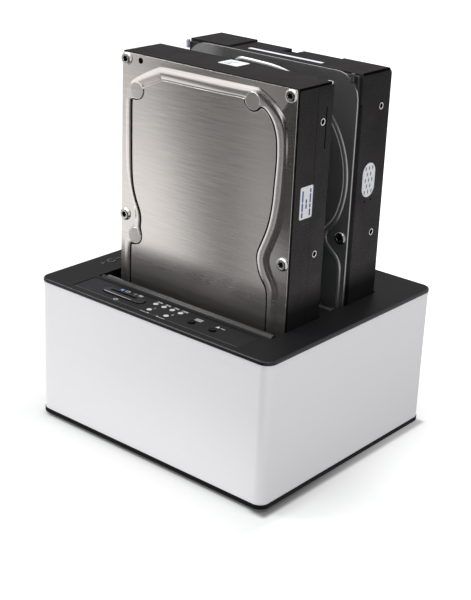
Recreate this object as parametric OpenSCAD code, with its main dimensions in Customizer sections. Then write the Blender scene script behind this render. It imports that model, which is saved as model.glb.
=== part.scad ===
// Twin-bay hard drive docking station with two docked drives, in millimetres.
// Z is up, the front faces -Y, and the origin is on the floor below the middle of the case.

/* [Docked drive] */
// Width of a drive
drive_w = 101.6; // [98:0.2:108]
// Length of a drive
drive_l = 147; // [140:0.5:160]
// Thickness of a drive without the raised bead of its cover
drive_t = 25.4; // [24.6:0.2:30]
// Sheet thickness of a drive cover
cover_t = 0.8; // [0.6:0.1:1.2]
// Height of the raised bead on a drive cover
bead_h = 0.7; // [0.3:0.1:1]
// Thickness of the seal under each drive cover, first and second drive
seal_t = [0.3, 2.2];
// Head radius of a cover screw
screw_head_r = 2.7; // [2:0.1:3]
// Head height of a cover screw
screw_head_h = 1.2; // [0.8:0.1:1.5]
// Distance of a platter from the side of a drive
platter_margin = 3.3; // [2.8:0.1:12]
// Thickness of a platter
platter_t = 1.3; // [0.8:0.1:1.6]
// Distance of the heads from the spindle at the inner end of their travel
head_stop = 25.5; // [23:0.5:30]
// Length of a drive's circuit board
hdd_board_l = 60; // [50:1:62]

/* [Bays] */
// Depth of a seated drive below the deck
drive_sink = 38; // [34:0.5:44]
// Free end of a bay beside a seated drive
bay_end_gap = 5.1; // [4.8:0.1:8]
// Room for the dust flap in front of a seated drive
flap_room = 9.9; // [9.4:0.1:14]
// Guiding gap behind and beside a seated drive
bay_fit = 0.8; // [0.4:0.1:1.5]
// Wall of a bay liner
bay_wall = 1.6; // [1.2:0.1:2.2]
// Floor of a bay liner
liner_floor = 2; // [1.2:0.1:3]
// Distance between the mouths of the two bays
bay_web = 7.8; // [6:0.1:14]

/* [Case] */
// Case width left over on each side of the bays
side_margin = 17.25; // [16.5:0.25:30]
// Shift of the bays to the right of the case middle
bay_shift = 1.7; // [-2:0.1:2]
// Case depth in front of the first bay
front_margin = 21; // [20.5:0.5:30]
// Case depth behind the second bay
rear_margin = 26; // [24:0.5:40]
// Height from the top of the base rim to a seated drive
under_bay = 31.4; // [28:0.2:40]
// Wall of the aluminium sleeve
sleeve_t = 2; // [1.4:0.1:2.4]
// Outside corner radius of the sleeve
corner_r = 5; // [4.5:0.5:7]
// Stand-out of the deck and the base past the sleeve
lip_out = 0.3; // [0.1:0.1:0.8]
// Gap between parts that slide into each other
fit = 0.25; // [0.15:0.05:0.35]

/* [Deck] */
// Visible height of the deck rim
deck_rim_h = 1.8; // [1.4:0.1:3]
// Thickness of the deck plate
deck_t = 2.5; // [2.3:0.1:4]
// Rounding of the top edge of the deck
deck_round = 1; // [0.4:0.1:1.2]
// Height of the skirt that reaches down into the sleeve
skirt_h = 5; // [3:0.5:8]
// Wall of the skirt
skirt_t = 1.4; // [1:0.1:2]
// Radius of the long corner posts
post_r = 3; // [2.6:0.1:3.4]
// Distance of the corner posts from the outside of the case
post_inset = 7.5; // [7:0.1:8]

/* [Panel] */
// Width of the panel recess
panel_w = 102.4; // [96:0.4:120]
// Depth of the panel recess from front to back
panel_d = 15; // [14:0.5:15.5]
// Distance of the panel recess from the front of the case
panel_front = 3.8; // [3:0.1:4.2]
// Depth of the recess below the deck
panel_sink = 0.6; // [0.4:0.1:0.9]
// Thickness of the overlay sheet
overlay_t = 0.4; // [0.2:0.1:0.5]
// Length of the power button
power_l = 25.4; // [20:0.2:26]
// Width of the power button
power_w = 5.4; // [4:0.2:6]
// Radius of the mode and start buttons
key_r = 1.6; // [1.2:0.1:2]
// Height of a button above the deck
key_up = 0.4; // [0.2:0.1:1]
// Travel of a button
key_travel = 0.6; // [0.4:0.1:0.8]
// Gap around a button
key_gap = 0.3; // [0.2:0.05:0.4]
// Radius of a progress or drive light
light_r = 1.3; // [0.8:0.1:1.5]
// Radius of a mode light
mode_light_r = 1; // [0.6:0.1:1.2]
// Distance of the control board below the deck plate
control_drop = 7; // [6.6:0.1:9]

/* [Dust flap] */
// Depth of the hinge axis below the deck
hinge_drop = 1.4; // [1.2:0.05:1.5]
// Radius of the rounded hinge bar
knuckle_r = 2.2; // [1.8:0.1:2.4]
// Gap between the hinge bar and the front edge of the bay mouth
knuckle_gap = 0.3; // [0.2:0.05:0.6]
// Radius of the hinge pin
pin_r = 0.75; // [0.5:0.05:0.8]
// Running gap of the flap on its pin
pin_gap = 0.05; // [0.03:0.01:0.1]
// Length of the flap leaf from the hinge axis
flap_drop = 33; // [28:0.5:34]
// Thickness of the flap leaf
flap_t = 2.2; // [1.6:0.1:2.4]
// Lean of the flap towards the seated drive at rest
flap_tilt = 7; // [5:0.5:7]
// Free length of the pin at the left end of the flap
flap_end = 4.3; // [4:0.1:5]
// Wire radius of the torsion spring
wire_r = 0.25; // [0.15:0.05:0.3]

/* [Base and rear] */
// Height of the feet below the base
foot_h = 1.8; // [1:0.1:4]
// Radius of a foot
foot_r = 6; // [4:0.5:6]
// Visible height of the base rim
base_rim_h = 2; // [1.6:0.1:4]
// Height of the upstand inside the sleeve
upstand_h = 6; // [4:0.5:10]
// Wall of the upstand
upstand_t = 1.6; // [1.2:0.1:2]
// Thickness of the main board
board_t = 1.6; // [1:0.1:2]
// Distance of the main board below a seated drive
board_drop = 11.6; // [10.5:0.1:13]
// Width of the rear plate opening
io_w = 62; // [56:1:90]
// Height of the rear plate opening
io_h = 24; // [20:0.5:26]
// Outside width of the data port
port_w = 12.2; // [11:0.1:13]
// Outside height of the data port
port_h = 12.8; // [12.4:0.1:14]
// Bore radius of the power jack
jack_r = 2.9; // [2.5:0.1:3.2]
// Pin radius of the power jack
jack_pin_r = 1; // [0.8:0.05:1.3]

/* [Hidden] */
$fn = 48;
eps = 0.01;
cut = 1;

// Heights
sleeve_z = foot_h + base_rim_h;
seat_z = sleeve_z + under_bay;
deck_top = seat_z + drive_sink;
deck_z = deck_top - deck_rim_h;
deck_low = deck_top - deck_t;
sleeve_h = deck_z - sleeve_z;
board_top = seat_z - board_drop;
board_z = board_top - board_t;
control_top = deck_low - control_drop;
control_z = control_top - board_t;
overlay_top = deck_top - panel_sink + overlay_t;

// Plan of the case
bay_len = bay_end_gap + drive_w + bay_fit;
bay_wid = flap_room + drive_t + bay_fit;
bay_pitch = bay_wid + bay_web;
case_w = bay_len + 2 * side_margin;
case_d = front_margin + bay_pitch + bay_wid + rear_margin;
in_w = case_w - 2 * sleeve_t;
in_d = case_d - 2 * sleeve_t;
in_r = corner_r - sleeve_t;
bay_x = bay_shift - bay_len / 2;
post_x = case_w / 2 - post_inset;
post_y = case_d / 2 - post_inset;
panel_x = bay_shift - 2.3;
panel_y = -case_d / 2 + panel_front + panel_d / 2;

function bay_y(k) = -case_d / 2 + front_margin + (k - 1) * bay_pitch;
function drive_y(k) = bay_y(k) + flap_room;
drive_x = bay_x + bay_end_gap;

// Flap hinge
hinge_z = deck_top - hinge_drop;
function hinge_y(k) = bay_y(k) + knuckle_r + knuckle_gap;
flap_x = bay_x + flap_end;
flap_len = bay_len - flap_end - bay_fit;
lug_l = 6;
lug_d = 5;
lug_h = 2.2;

// Liner ears and their deck bosses
ear = 7;
ear_t = 2;
boss_h = 8;
boss_r = 2.6;
ear_z = deck_low - boss_h;
ear_x = [bay_x - bay_wall - ear / 2, bay_x + bay_len + bay_wall + ear / 2];
function ear_y(k) = bay_y(k) + bay_wid / 2;

// Screw shafts
tap_r = 1.1;
shaft_r = 1.08;
free_r = 1.5;

// Panel layout, measured from the middle of the panel
power_at = [panel_x - 24.6, panel_y + 0.1];
mode_at = [panel_x + 18.6, panel_y - 0.8];
start_at = [panel_x + 31.1, panel_y - 0.9];
lit_at = [panel_x - 30.5, panel_y + 5];
off_at = [panel_x - 22.3, panel_y + 5.2];
progress_at = [for (i = [0:3]) [panel_x - 7.5 + 5.15 * i, panel_y + 3.5]];
drive_light_at = [for (i = [0:1]) [panel_x - 5.1 + 10.5 * i, panel_y - 3.4]];
light_at = concat(progress_at, drive_light_at);
control_w = panel_w - 2;
control_d = panel_d - 1;
control_hole_in = 4.2;
control_hole_at = [for (s = [-1, 1]) [panel_x + s * (control_w / 2 - control_hole_in), panel_y]];

// Push switches
switch_s = 6;
switch_h = 3.2;
plunger_r = 1.7;
plunger_up = 1.4;
plunger_top = control_top + switch_h + plunger_up;
flange_t = 1;
flange_out = 0.8;

// Main board
board_x = case_w / 2 - 15;
board_front = -case_d / 2 + 9.5;
board_rear = in_d / 2 - 2.6;
board_hole_at = [for (x = [-1, 1], y = [board_front + 5, board_rear - 8]) [x * (board_x - 6), y]];

// Drive plug and the socket that takes it
plug_u = 32;
plug_w = drive_t - 4.8;
plug_l = 42;
plug_t = 6;
plug_h = 9;
nose_l = 37.6;
nose_t = 3.8;
nose_up = 5.8;
tongue_l = 34.4;
tongue_t = 1.2;

// Rear plate, port and jack
io_z = board_top - 4;
io_face = case_d / 2 - 0.1;
port_x = -14;
jack_x = 17;
jack_s = 9.4;
jack_h = 11;
jack_z = board_top + jack_h / 2;

// Drive interior, in the frame of a drive: u across, w from front to back, z from the plug end
hdd_floor = drive_t - 8.9;
platter_r = drive_w / 2 - platter_margin;
disc_at = [drive_w / 2, drive_l - drive_w / 2];
disc_cave_r = platter_r + 0.9;
hub_r = 12;
spindle_r = 5;
cave_z = 6;
pivot_at = [drive_w / 2 + 0.4463 * platter_r, 0.6608 * (drive_l - drive_w)];
pivot_r = 4;
arm_reach = norm(disc_at - pivot_at) - head_stop;
tail_l = 0.885 * (pivot_at[1] - cave_z - 4.8);
arm_park = 63.3;
arm_w = [2.4, 3.8];
board_pocket = 4.6;
end_step = 0.5;
end_round = 2.6;

function cast_w(k) = cover_t + seal_t[k - 1];

// Screw places of the two covers, as distance across and distance below the top
cover_screw_at = [
    [for (u = [3, drive_w - 3], v = [3, 0.53 * drive_l, drive_l - 3]) [u, v]],
    [for (u = [4, drive_w - 4], v = [0.5204 * drive_l, drive_l - 5]) [u, v]]
];

// Bead lines of the first cover, as shares of its width and of its length from the top
bead_out = [
    [0.0246, 0.6803], [0.0285, 0.619], [0.0453, 0.5782], [0.0817, 0.5483], [0.0837, 0.5061],
    [0.0571, 0.4286], [0.0295, 0.3537], [0.0246, 0.2721], [0.0335, 0.1224], [0.0886, 0.0782],
    [0.2392, 0.0211], [0.5118, 0.0197], [0.8022, 0.0177], [0.8858, 0.0408], [0.938, 0.0776],
    [0.9665, 0.1687], [0.9665, 0.266], [0.9439, 0.4136], [0.8976, 0.5177], [0.936, 0.5952],
    [0.9409, 0.7347], [0.935, 0.9116], [0.8465, 0.9592], [0.4921, 0.966], [0.1378, 0.9592],
    [0.0394, 0.9116], [0.0256, 0.8027]
];
bead_in = [
    [0.065, 0.6803], [0.064, 0.6395], [0.1142, 0.6095], [0.128, 0.5442], [0.0974, 0.4701],
    [0.0709, 0.4082], [0.065, 0.3129], [0.065, 0.1769], [0.1319, 0.1293], [0.253, 0.0605],
    [0.4921, 0.0578], [0.7087, 0.0558], [0.7756, 0.0925], [0.8465, 0.0762], [0.8976, 0.1429],
    [0.9065, 0.2313], [0.9016, 0.351], [0.8642, 0.4626], [0.8327, 0.5306], [0.8661, 0.5932],
    [0.8947, 0.6667], [0.8937, 0.8707], [0.8169, 0.9224], [0.4921, 0.9279], [0.1772, 0.9224],
    [0.0787, 0.8707]
];

// A closed smooth line through the given points, turned to the height of a drive
function knot(p, i) = p[(i + len(p)) % len(p)];
function smooth(a, b, c, d, t) =
    0.5 * (2 * b + (c - a) * t + (2 * a - 5 * b + 4 * c - d) * t * t
    + (3 * b - a - 3 * c + d) * t * t * t);
function loop(p, n) = [
    for (i = [0:len(p) - 1], j = [0:n - 1])
        let (q = smooth(knot(p, i - 1), p[i], knot(p, i + 1), knot(p, i + 2), j / n))
            cover_at(q)
];
function cover_at(q) = [q[0] * drive_w, drive_l * (1 - q[1])];

// A box from the low and high end along each axis
module box(x, y, z) {
    translate([x[0], y[0], z[0]])
        cube([x[1] - x[0], y[1] - y[0], z[1] - z[0]]);
}

// An upright round bar at a place in plan, between two heights
module bar(at, r, z) {
    translate([at[0], at[1], z[0]])
        cylinder(r = r, h = z[1] - z[0]);
}

// A round bar along X from x0
module rod(x, y, z, r) {
    translate([x[0], y, z])
        rotate([0, 90, 0])
            cylinder(r = r, h = x[1] - x[0]);
}

// A round bar along Y in the frame of a drive
module peg(at, r, w) {
    translate([at[0], w[0], at[1]])
        rotate([-90, 0, 0])
            cylinder(r = r, h = w[1] - w[0]);
}

module rounded_rect(w, d, r) {
    square([w - 2 * r, d], center = true);
    square([w, d - 2 * r], center = true);
    for (x = [-1, 1], y = [-1, 1])
        translate([x * (w / 2 - r), y * (d / 2 - r)])
            circle(r);
}

module slab(w, d, r, z) {
    translate([0, 0, z[0]])
        linear_extrude(z[1] - z[0])
            rounded_rect(w, d, r);
}

module pill(at, l, w, z) {
    translate([at[0], at[1], z[0]])
        linear_extrude(z[1] - z[0]) {
            square([l - w, w], center = true);
            for (s = [-1, 1])
                translate([s * (l - w) / 2, 0])
                    circle(w / 2);
        }
}

// A flat shape in the u-z plane of a drive, thick along w
module sheet(w) {
    translate([0, w[1], 0])
        rotate([90, 0, 0])
            linear_extrude(w[1] - w[0])
                children();
}

module drive_place(k) {
    translate([drive_x, drive_y(k), seat_z])
        children();
}

// Case

module outer_sleeve() {
    color("gainsboro")
        difference() {
            slab(case_w, case_d, corner_r, [sleeve_z, deck_z]);
            slab(in_w, in_d, in_r, [sleeve_z - cut, deck_z + cut]);
            box([-io_w / 2, io_w / 2], [in_d / 2 - cut, case_d / 2 + cut], [io_z, io_z + io_h]);
        }
}

module deck_rim() {
    rim_r = corner_r + lip_out;
    hull()
        for (x = [-1, 1], y = [-1, 1])
            translate([x * (case_w / 2 - corner_r), y * (case_d / 2 - corner_r), deck_z]) {
                cylinder(r = rim_r, h = deck_rim_h - deck_round, $fn = 32);
                translate([0, 0, deck_rim_h - deck_round])
                    rotate_extrude($fn = 32)
                        translate([rim_r - deck_round, 0])
                            intersection() {
                                circle(deck_round, $fn = 24);
                                square(deck_round);
                            }
            }
}

module deck_skirt() {
    w = in_w - 2 * fit;
    d = in_d - 2 * fit;
    slab(w, d, in_r - fit, [deck_low, deck_z + eps]);
    difference() {
        slab(w, d, in_r - fit, [deck_z - skirt_h, deck_z]);
        slab(w - 2 * skirt_t, d - 2 * skirt_t, in_r - fit - skirt_t / 2, [deck_z - skirt_h - cut, deck_low]);
    }
}

module hinge_lugs(k, grow) {
    for (x = [bay_x - lug_l, bay_x + bay_len])
        box([x - grow, x + lug_l + grow],
            [hinge_y(k) - lug_d / 2 - grow, hinge_y(k) + lug_d / 2 + grow],
            [deck_low - lug_h - grow, deck_low + grow]);
}

module panel_cuts(z) {
    pill(power_at, power_l + 2 * key_gap, power_w + 2 * key_gap, z);
    for (p = [mode_at, start_at])
        bar(p, key_r + key_gap, z);
    for (p = light_at)
        bar(p, light_r + eps, z);
    for (p = [lit_at, off_at])
        bar(p, mode_light_r + eps, z);
}

module deck() {
    color("#1b1c1e")
        difference() {
            union() {
                deck_rim();
                deck_skirt();
                for (x = [-1, 1], y = [-1, 1])
                    bar([x * post_x, y * post_y], post_r, [sleeve_z + upstand_h / 2, deck_low + eps]);
                for (k = [1, 2]) {
                    hinge_lugs(k, 0);
                    for (x = ear_x)
                        bar([x, ear_y(k)], boss_r, [ear_z, deck_low + eps]);
                }
                for (p = control_hole_at)
                    bar(p, boss_r, [control_top, deck_low + eps]);
            }
            for (k = [1, 2]) {
                box([bay_x, bay_x + bay_len], [bay_y(k), bay_y(k) + bay_wid],
                    [deck_low - cut, deck_top + cut]);
                rod([bay_x - lug_l - cut, bay_x + bay_len + lug_l - cut], hinge_y(k), hinge_z, pin_r + eps);
                for (x = ear_x)
                    bar([x, ear_y(k)], tap_r, [ear_z - cut, deck_low]);
            }
            box([panel_x - panel_w / 2, panel_x + panel_w / 2],
                [panel_y - panel_d / 2, panel_y + panel_d / 2],
                [deck_top - panel_sink, deck_top + cut]);
            panel_cuts([deck_low - cut, deck_top + cut]);
            for (p = control_hole_at)
                bar(p, tap_r, [control_top - cut, deck_low]);
            for (x = [-1, 1], y = [-1, 1])
                bar([x * post_x, y * post_y], tap_r, [sleeve_z - cut, sleeve_z + 16]);
        }
}

module base_plate() {
    w = in_w - 2 * fit;
    d = in_d - 2 * fit;
    color("#1b1c1e")
        difference() {
            union() {
                slab(case_w + 2 * lip_out, case_d + 2 * lip_out, corner_r + lip_out, [foot_h, sleeve_z]);
                difference() {
                    slab(w, d, in_r - fit, [sleeve_z - eps, sleeve_z + upstand_h]);
                    slab(w - 2 * upstand_t, d - 2 * upstand_t, in_r - fit - upstand_t / 2,
                        [sleeve_z, sleeve_z + upstand_h + cut]);
                }
                for (x = [-1, 1], y = [-1, 1])
                    bar([x * post_x, y * post_y], post_r, [sleeve_z - eps, sleeve_z + upstand_h / 2]);
                for (p = board_hole_at)
                    bar(p, post_r, [sleeve_z - eps, board_z]);
            }
            for (x = [-1, 1], y = [-1, 1]) {
                bar([x * foot_x, y * foot_y], foot_r + eps, [foot_h - cut, foot_h + foot_seat]);
                bar([x * post_x, y * post_y], free_r, [foot_h - cut, deck_low]);
                bar([x * post_x, y * post_y], 2.3, [foot_h - cut, sleeve_z]);
            }
            for (p = board_hole_at)
                bar(p, tap_r, [sleeve_z + 4, board_z + cut]);
            for (i = [-3:3])
                pill([0, 7 * i], 60, 2.4, [foot_h - cut, sleeve_z + cut]);
        }
}
foot_x = post_x - 7.2;
foot_y = post_y - 7.2;
foot_seat = 0.8;

module feet() {
    color("#0d0d0d")
        for (x = [-1, 1], y = [-1, 1])
            bar([x * foot_x, y * foot_y], foot_r, [0, foot_h + foot_seat]);
}

// A pan head screw that points up from the given height of its head's upper side
module screw_up(at, z, l, head_r, head_h) {
    difference() {
        union() {
            bar(at, head_r, [z - head_h, z]);
            bar(at, shaft_r, [z - eps, z + l]);
        }
        for (a = [0, 90])
            translate([at[0], at[1], z - head_h])
                rotate(a)
                    cube([head_r, 0.6, head_h], center = true);
    }
}

module base_screws() {
    color("silver")
        for (x = [-1, 1], y = [-1, 1])
            screw_up([x * post_x, y * post_y], sleeve_z, 14, 2.2, 1.4);
}

// Bays

module bay_liner(k) {
    y0 = bay_y(k);
    z0 = seat_z - liner_floor;
    socket = [drive_x + plug_u, drive_y(k) + plug_w];
    color("#232427")
        difference() {
            union() {
                box([bay_x - bay_wall, bay_x + bay_len + bay_wall],
                    [y0 - bay_wall, y0 + bay_wid + bay_wall], [z0, deck_low]);
                box([ear_x[0] - ear / 2, ear_x[1] + ear / 2],
                    [ear_y(k) - ear / 2, ear_y(k) + ear / 2], [ear_z - ear_t, ear_z]);
            }
            box([bay_x, bay_x + bay_len], [y0 + 5, y0 + bay_wid], [seat_z, deck_low + cut]);
            box([bay_x, bay_x + bay_len], [y0, y0 + bay_wid], [seat_z + 2.4, deck_low + cut]);
            box([drive_x + 12, drive_x + drive_w - 12], [y0, y0 + bay_wid], [seat_z, deck_low + cut]);
            box([socket[0] - nose_l / 2 - 0.5, socket[0] + nose_l / 2 + 0.5],
                [socket[1] - nose_t / 2 - 0.5, socket[1] + nose_t / 2 + 0.5], [z0 - cut, seat_z + cut]);
            hinge_lugs(k, 0.2);
            for (x = ear_x)
                bar([x, ear_y(k)], free_r, [ear_z - ear_t - cut, ear_z + cut]);
        }
}

module bay_liner_1() {
    bay_liner(1);
}

module bay_liner_2() {
    bay_liner(2);
}

module liner_screws() {
    color("silver")
        for (k = [1, 2], x = ear_x)
            screw_up([x, ear_y(k)], ear_z - ear_t, 7.5, 2.2, 1.4);
}

// Dust flaps

module flap(k) {
    color("#2c2d30")
        translate([flap_x, hinge_y(k), hinge_z])
            rotate([flap_tilt, 0, 0])
                difference() {
                    union() {
                        rod([0, flap_len], 0, 0, knuckle_r);
                        box([0, flap_len], [hinge_drop - flap_t, hinge_drop], [-flap_drop, 0]);
                        for (i = [0:4])
                            translate([flap_len * (i + 0.5) / 5, hinge_drop - flap_t, 0])
                                box([-0.6, 0.6], [-0.5, eps], [3 - flap_drop, 0]);
                    }
                    rod([-cut, flap_len + cut], 0, 0, pin_r + pin_gap);
                }
}

module flap_1() {
    flap(1);
}

module flap_2() {
    flap(2);
}

module flap_pin(k) {
    color("silver")
        rod([bay_x - lug_l + 0.5, bay_x + bay_len + lug_l - cut - 0.2], hinge_y(k), hinge_z, pin_r);
}

module flap_pin_1() {
    flap_pin(1);
}

module flap_pin_2() {
    flap_pin(2);
}

// Torsion spring: a straight leg, four and a half turns round the pin, and a second leg
coil_turns = 4.5;
coil_steps = 12;
coil_r = pin_r + wire_r + 0.2;
coil_x = [0.7, flap_end - 0.8];
coil_n = coil_turns * coil_steps;
leg_z = [1, 3.5, 6];
function coil_point(i) = [
    coil_x[0] + (coil_x[1] - coil_x[0]) * i / coil_n,
    -coil_r * cos(360 * i / coil_steps),
    coil_r * sin(360 * i / coil_steps)
];
coil_path = concat(
    [for (i = [2:-1:0]) [coil_x[0] - 0.02, -coil_r, -leg_z[i]]],
    [for (i = [0:coil_n]) coil_point(i)],
    [for (i = [0:2]) [coil_x[1] + 0.02, coil_r, -leg_z[i]]]
);

function along(p, i) =
    let (a = p[max(i - 1, 0)], b = p[min(i + 1, len(p) - 1)])
        (b - a) / norm(b - a);
function ring(p, i, r, n) =
    let (t = along(p, i), s = [1, 0, 0] - t * t[0], u = s / norm(s), v = cross(t, u))
        [for (j = [0:n - 1]) p[i] + r * (cos(360 * j / n) * u + sin(360 * j / n) * v)];

module wire(path, r, n) {
    points = [for (i = [0:len(path) - 1]) each ring(path, i, r, n)];
    last = (len(path) - 1) * n;
    sides = [
        for (i = [0:len(path) - 2], j = [0:n - 1])
            [i * n + j, i * n + (j + 1) % n, (i + 1) * n + (j + 1) % n, (i + 1) * n + j]
    ];
    ends = [[for (j = [0:n - 1]) n - 1 - j], [for (j = [0:n - 1]) last + j]];
    polyhedron(points, concat(sides, ends));
}

module flap_spring(k) {
    color("gold")
        translate([bay_x, hinge_y(k), hinge_z])
            wire(coil_path, wire_r, 6);
}

module flap_spring_1() {
    flap_spring(1);
}

module flap_spring_2() {
    flap_spring(2);
}

// Panel

module panel_overlay() {
    gap = 0.1;
    z = [deck_top - panel_sink, overlay_top];
    color("#101113")
        difference() {
            box([panel_x - panel_w / 2 + gap, panel_x + panel_w / 2 - gap],
                [panel_y - panel_d / 2 + gap, panel_y + panel_d / 2 - gap], z);
            panel_cuts([z[0] - cut, z[1] + cut]);
        }
}

module power_button() {
    color("#2a2b2e")
        difference() {
            union() {
                pill(power_at, power_l, power_w, [deck_low - flange_t, deck_top + key_up]);
                pill(power_at, power_l + 2 * flange_out, power_w + 2 * flange_out,
                    [deck_low - flange_t - 0.05, deck_low - 0.05]);
                bar(power_at, 1.5, [plunger_top, deck_low - flange_t]);
            }
            pill(power_at + [-1, 0.7], 16.4, 0.9, [deck_top + key_up - 0.5, deck_top + cut]);
        }
}

module round_key(at) {
    color("#0c0c0d") {
        bar(at, key_r, [plunger_top, deck_top + key_up]);
        bar(at, key_r + flange_out, [deck_low - flange_t - 0.05, deck_low - 0.05]);
    }
}

module mode_button() {
    round_key(mode_at);
}

module start_button() {
    round_key(start_at);
}

module plunger(at) {
    color("#3a3a3a")
        bar(at, plunger_r, [control_top + switch_h - 1, plunger_top]);
}

module power_plunger() {
    plunger(power_at);
}

module mode_plunger() {
    plunger(mode_at);
}

module start_plunger() {
    plunger(start_at);
}

module switch_bodies() {
    color("#77787a")
        for (p = [power_at, mode_at, start_at])
            difference() {
                box([p[0] - switch_s / 2, p[0] + switch_s / 2],
                    [p[1] - switch_s / 2, p[1] + switch_s / 2], [control_top, control_top + switch_h]);
                bar(p, plunger_r + 0.06, [control_top + switch_h - 1 - key_travel - 0.3, deck_low]);
            }
}

led_h = 0.8;
module light_pipe(at, r) {
    bar(at, r, [control_top + led_h + 0.2, overlay_top]);
    bar(at, r + 0.25, [deck_low - 1.2, deck_low]);
}

module mode_light_lit() {
    color("#2b6cff")
        light_pipe(lit_at, mode_light_r);
}

module mode_light_off() {
    color("#5a2226")
        light_pipe(off_at, mode_light_r);
}

module progress_lights() {
    color("white")
        for (p = progress_at)
            light_pipe(p, light_r);
}

module drive_lights() {
    color("white")
        for (p = drive_light_at)
            light_pipe(p, light_r);
}

module indicator_leds() {
    color("ivory")
        for (p = concat(light_at, [lit_at, off_at]))
            box([p[0] - 1, p[0] + 1], [p[1] - 0.7, p[1] + 0.7], [control_top, control_top + led_h]);
}

module control_board() {
    color("darkgreen")
        difference() {
            box([panel_x - control_w / 2, panel_x + control_w / 2],
                [panel_y - control_d / 2, panel_y + control_d / 2], [control_z, control_top]);
            for (p = control_hole_at)
                bar(p, free_r, [control_z - cut, control_top + cut]);
        }
}

module control_screws() {
    color("silver")
        for (p = control_hole_at)
            screw_up(p, control_z, 6, 2.2, 1.4);
}

// Ribbon cable with a bow, ending in a header on each board
ribbon_y = panel_y - 1;
ribbon_z = [board_top + 2.4, control_z - 2.4];
ribbon_x = [panel_x - 8, panel_x + 8];
ribbon_bow = 4;
ribbon_t = 0.4;
ribbon_n = 16;
function ribbon_point(i, side) = [
    ribbon_y + ribbon_bow * pow(sin(180 * i / ribbon_n), 2) + side * ribbon_t / 2,
    ribbon_z[0] + (ribbon_z[1] - ribbon_z[0]) * i / ribbon_n
];

module ribbon_cable() {
    color("#9aa0a8") {
        translate([ribbon_x[0], 0, 0])
            rotate([90, 0, 90])
                linear_extrude(ribbon_x[1] - ribbon_x[0])
                    polygon(concat(
                        [for (i = [0:ribbon_n]) ribbon_point(i, 1)],
                        [for (i = [0:ribbon_n]) ribbon_point(ribbon_n - i, -1)]));
        for (z = [[board_top, ribbon_z[0]], [ribbon_z[1], control_z]])
            box([ribbon_x[0] - 1.5, ribbon_x[1] + 1.5], [ribbon_y - 1.6, ribbon_y + 1.6], z);
    }
}

// Main board

module main_board() {
    color("darkgreen")
        difference() {
            box([-board_x, board_x], [board_front, board_rear], [board_z, board_top]);
            for (p = board_hole_at)
                bar(p, free_r, [board_z - cut, board_top + cut]);
        }
}

module board_screws() {
    color("silver")
        for (p = board_hole_at)
            translate([0, 0, 2 * board_top])
                mirror([0, 0, 1])
                    screw_up(p, board_top, 8, 2.2, 1.4);
}

module sata_socket(k) {
    at = [drive_x + plug_u, drive_y(k) + plug_w];
    nose_top = seat_z + nose_up;
    color("#161616")
        difference() {
            union() {
                box([at[0] - plug_l / 2, at[0] + plug_l / 2], [at[1] - plug_t / 2, at[1] + plug_t / 2],
                    [board_top, seat_z - liner_floor - 0.2]);
                box([at[0] - nose_l / 2, at[0] + nose_l / 2], [at[1] - nose_t / 2, at[1] + nose_t / 2],
                    [board_top, nose_top]);
            }
            box([at[0] - tongue_l / 2 - 0.3, at[0] + tongue_l / 2 + 0.3],
                [at[1] - tongue_t / 2 - 0.25, at[1] + tongue_t / 2 + 0.25],
                [nose_top - 6.5, nose_top + cut]);
        }
}

module sata_socket_1() {
    sata_socket(1);
}

module sata_socket_2() {
    sata_socket(2);
}

module bridge_chips() {
    color("#202020") {
        box([board_x - 38, board_x - 26], [drive_y(1) + 12.6, drive_y(1) + 24.6],
            [board_top, board_top + 1.2]);
        box([board_x - 36, board_x - 27], [drive_y(2) - 3, drive_y(2) + 6], [board_top, board_top + 1.2]);
        box([8 - board_x, 17 - board_x], [drive_y(1) + 14.6, drive_y(1) + 19.6],
            [board_top, board_top + 1.6]);
    }
}

module capacitors() {
    color("#2d3550")
        for (s = [-1, 1], x = [14, 21])
            bar([s * (board_x - x), board_rear - 13], 3, [board_top, board_top + 6.4]);
}

module port_shell(w, h, grow, face) {
    box([port_x - w / 2 - grow, port_x + w / 2 + grow], [board_rear - 12, face],
        [board_top - grow, board_top + h + grow]);
}

module usb_port() {
    t = 0.5;
    color("silver")
        difference() {
            port_shell(port_w, port_h, 0, io_face);
            box([port_x - port_w / 2 + t, port_x + port_w / 2 - t],
                [board_rear - 8, io_face + cut], [board_top + t, board_top + port_h - t]);
        }
}

module usb_tongue() {
    z = board_top + port_h - 6.9;
    color("royalblue")
        box([port_x - 2.8, port_x + 2.8], [board_rear - 8, io_face - 2.5], [z - 4.2, z + 1.2]);
}

module power_jack() {
    y = [board_rear - 10, io_face];
    color("#141414")
        difference() {
            box([jack_x - jack_s / 2, jack_x + jack_s / 2], y, [board_top, board_top + jack_h]);
            translate([jack_x, y[1] - 9.5, jack_z])
                rotate([-90, 0, 0])
                    cylinder(r = jack_r, h = 9.5 + cut);
        }
    color("silver")
        translate([jack_x, y[1] - 9.5 - eps, jack_z])
            rotate([-90, 0, 0])
                cylinder(r = jack_pin_r, h = 9);
}

module rear_plate() {
    edge = 2;
    gap = 0.2;
    z = [io_z, io_z + io_h];
    color("#1b1c1e")
        difference() {
            union() {
                box([-io_w / 2 + gap, io_w / 2 - gap], [in_d / 2 - 1, case_d / 2], [z[0] + gap, z[1] - gap]);
                box([-io_w / 2 - edge, io_w / 2 + edge], [in_d / 2 - 1.9, in_d / 2 - eps],
                    [z[0] - edge, z[1] + edge]);
            }
            port_shell(port_w, port_h, 0.2, case_d / 2 + cut);
            box([jack_x - jack_s / 2 - gap, jack_x + jack_s / 2 + gap], [in_d / 2 - 4, case_d / 2 + cut],
                [board_top - gap, board_top + jack_h + gap]);
        }
}

// Drives

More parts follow.
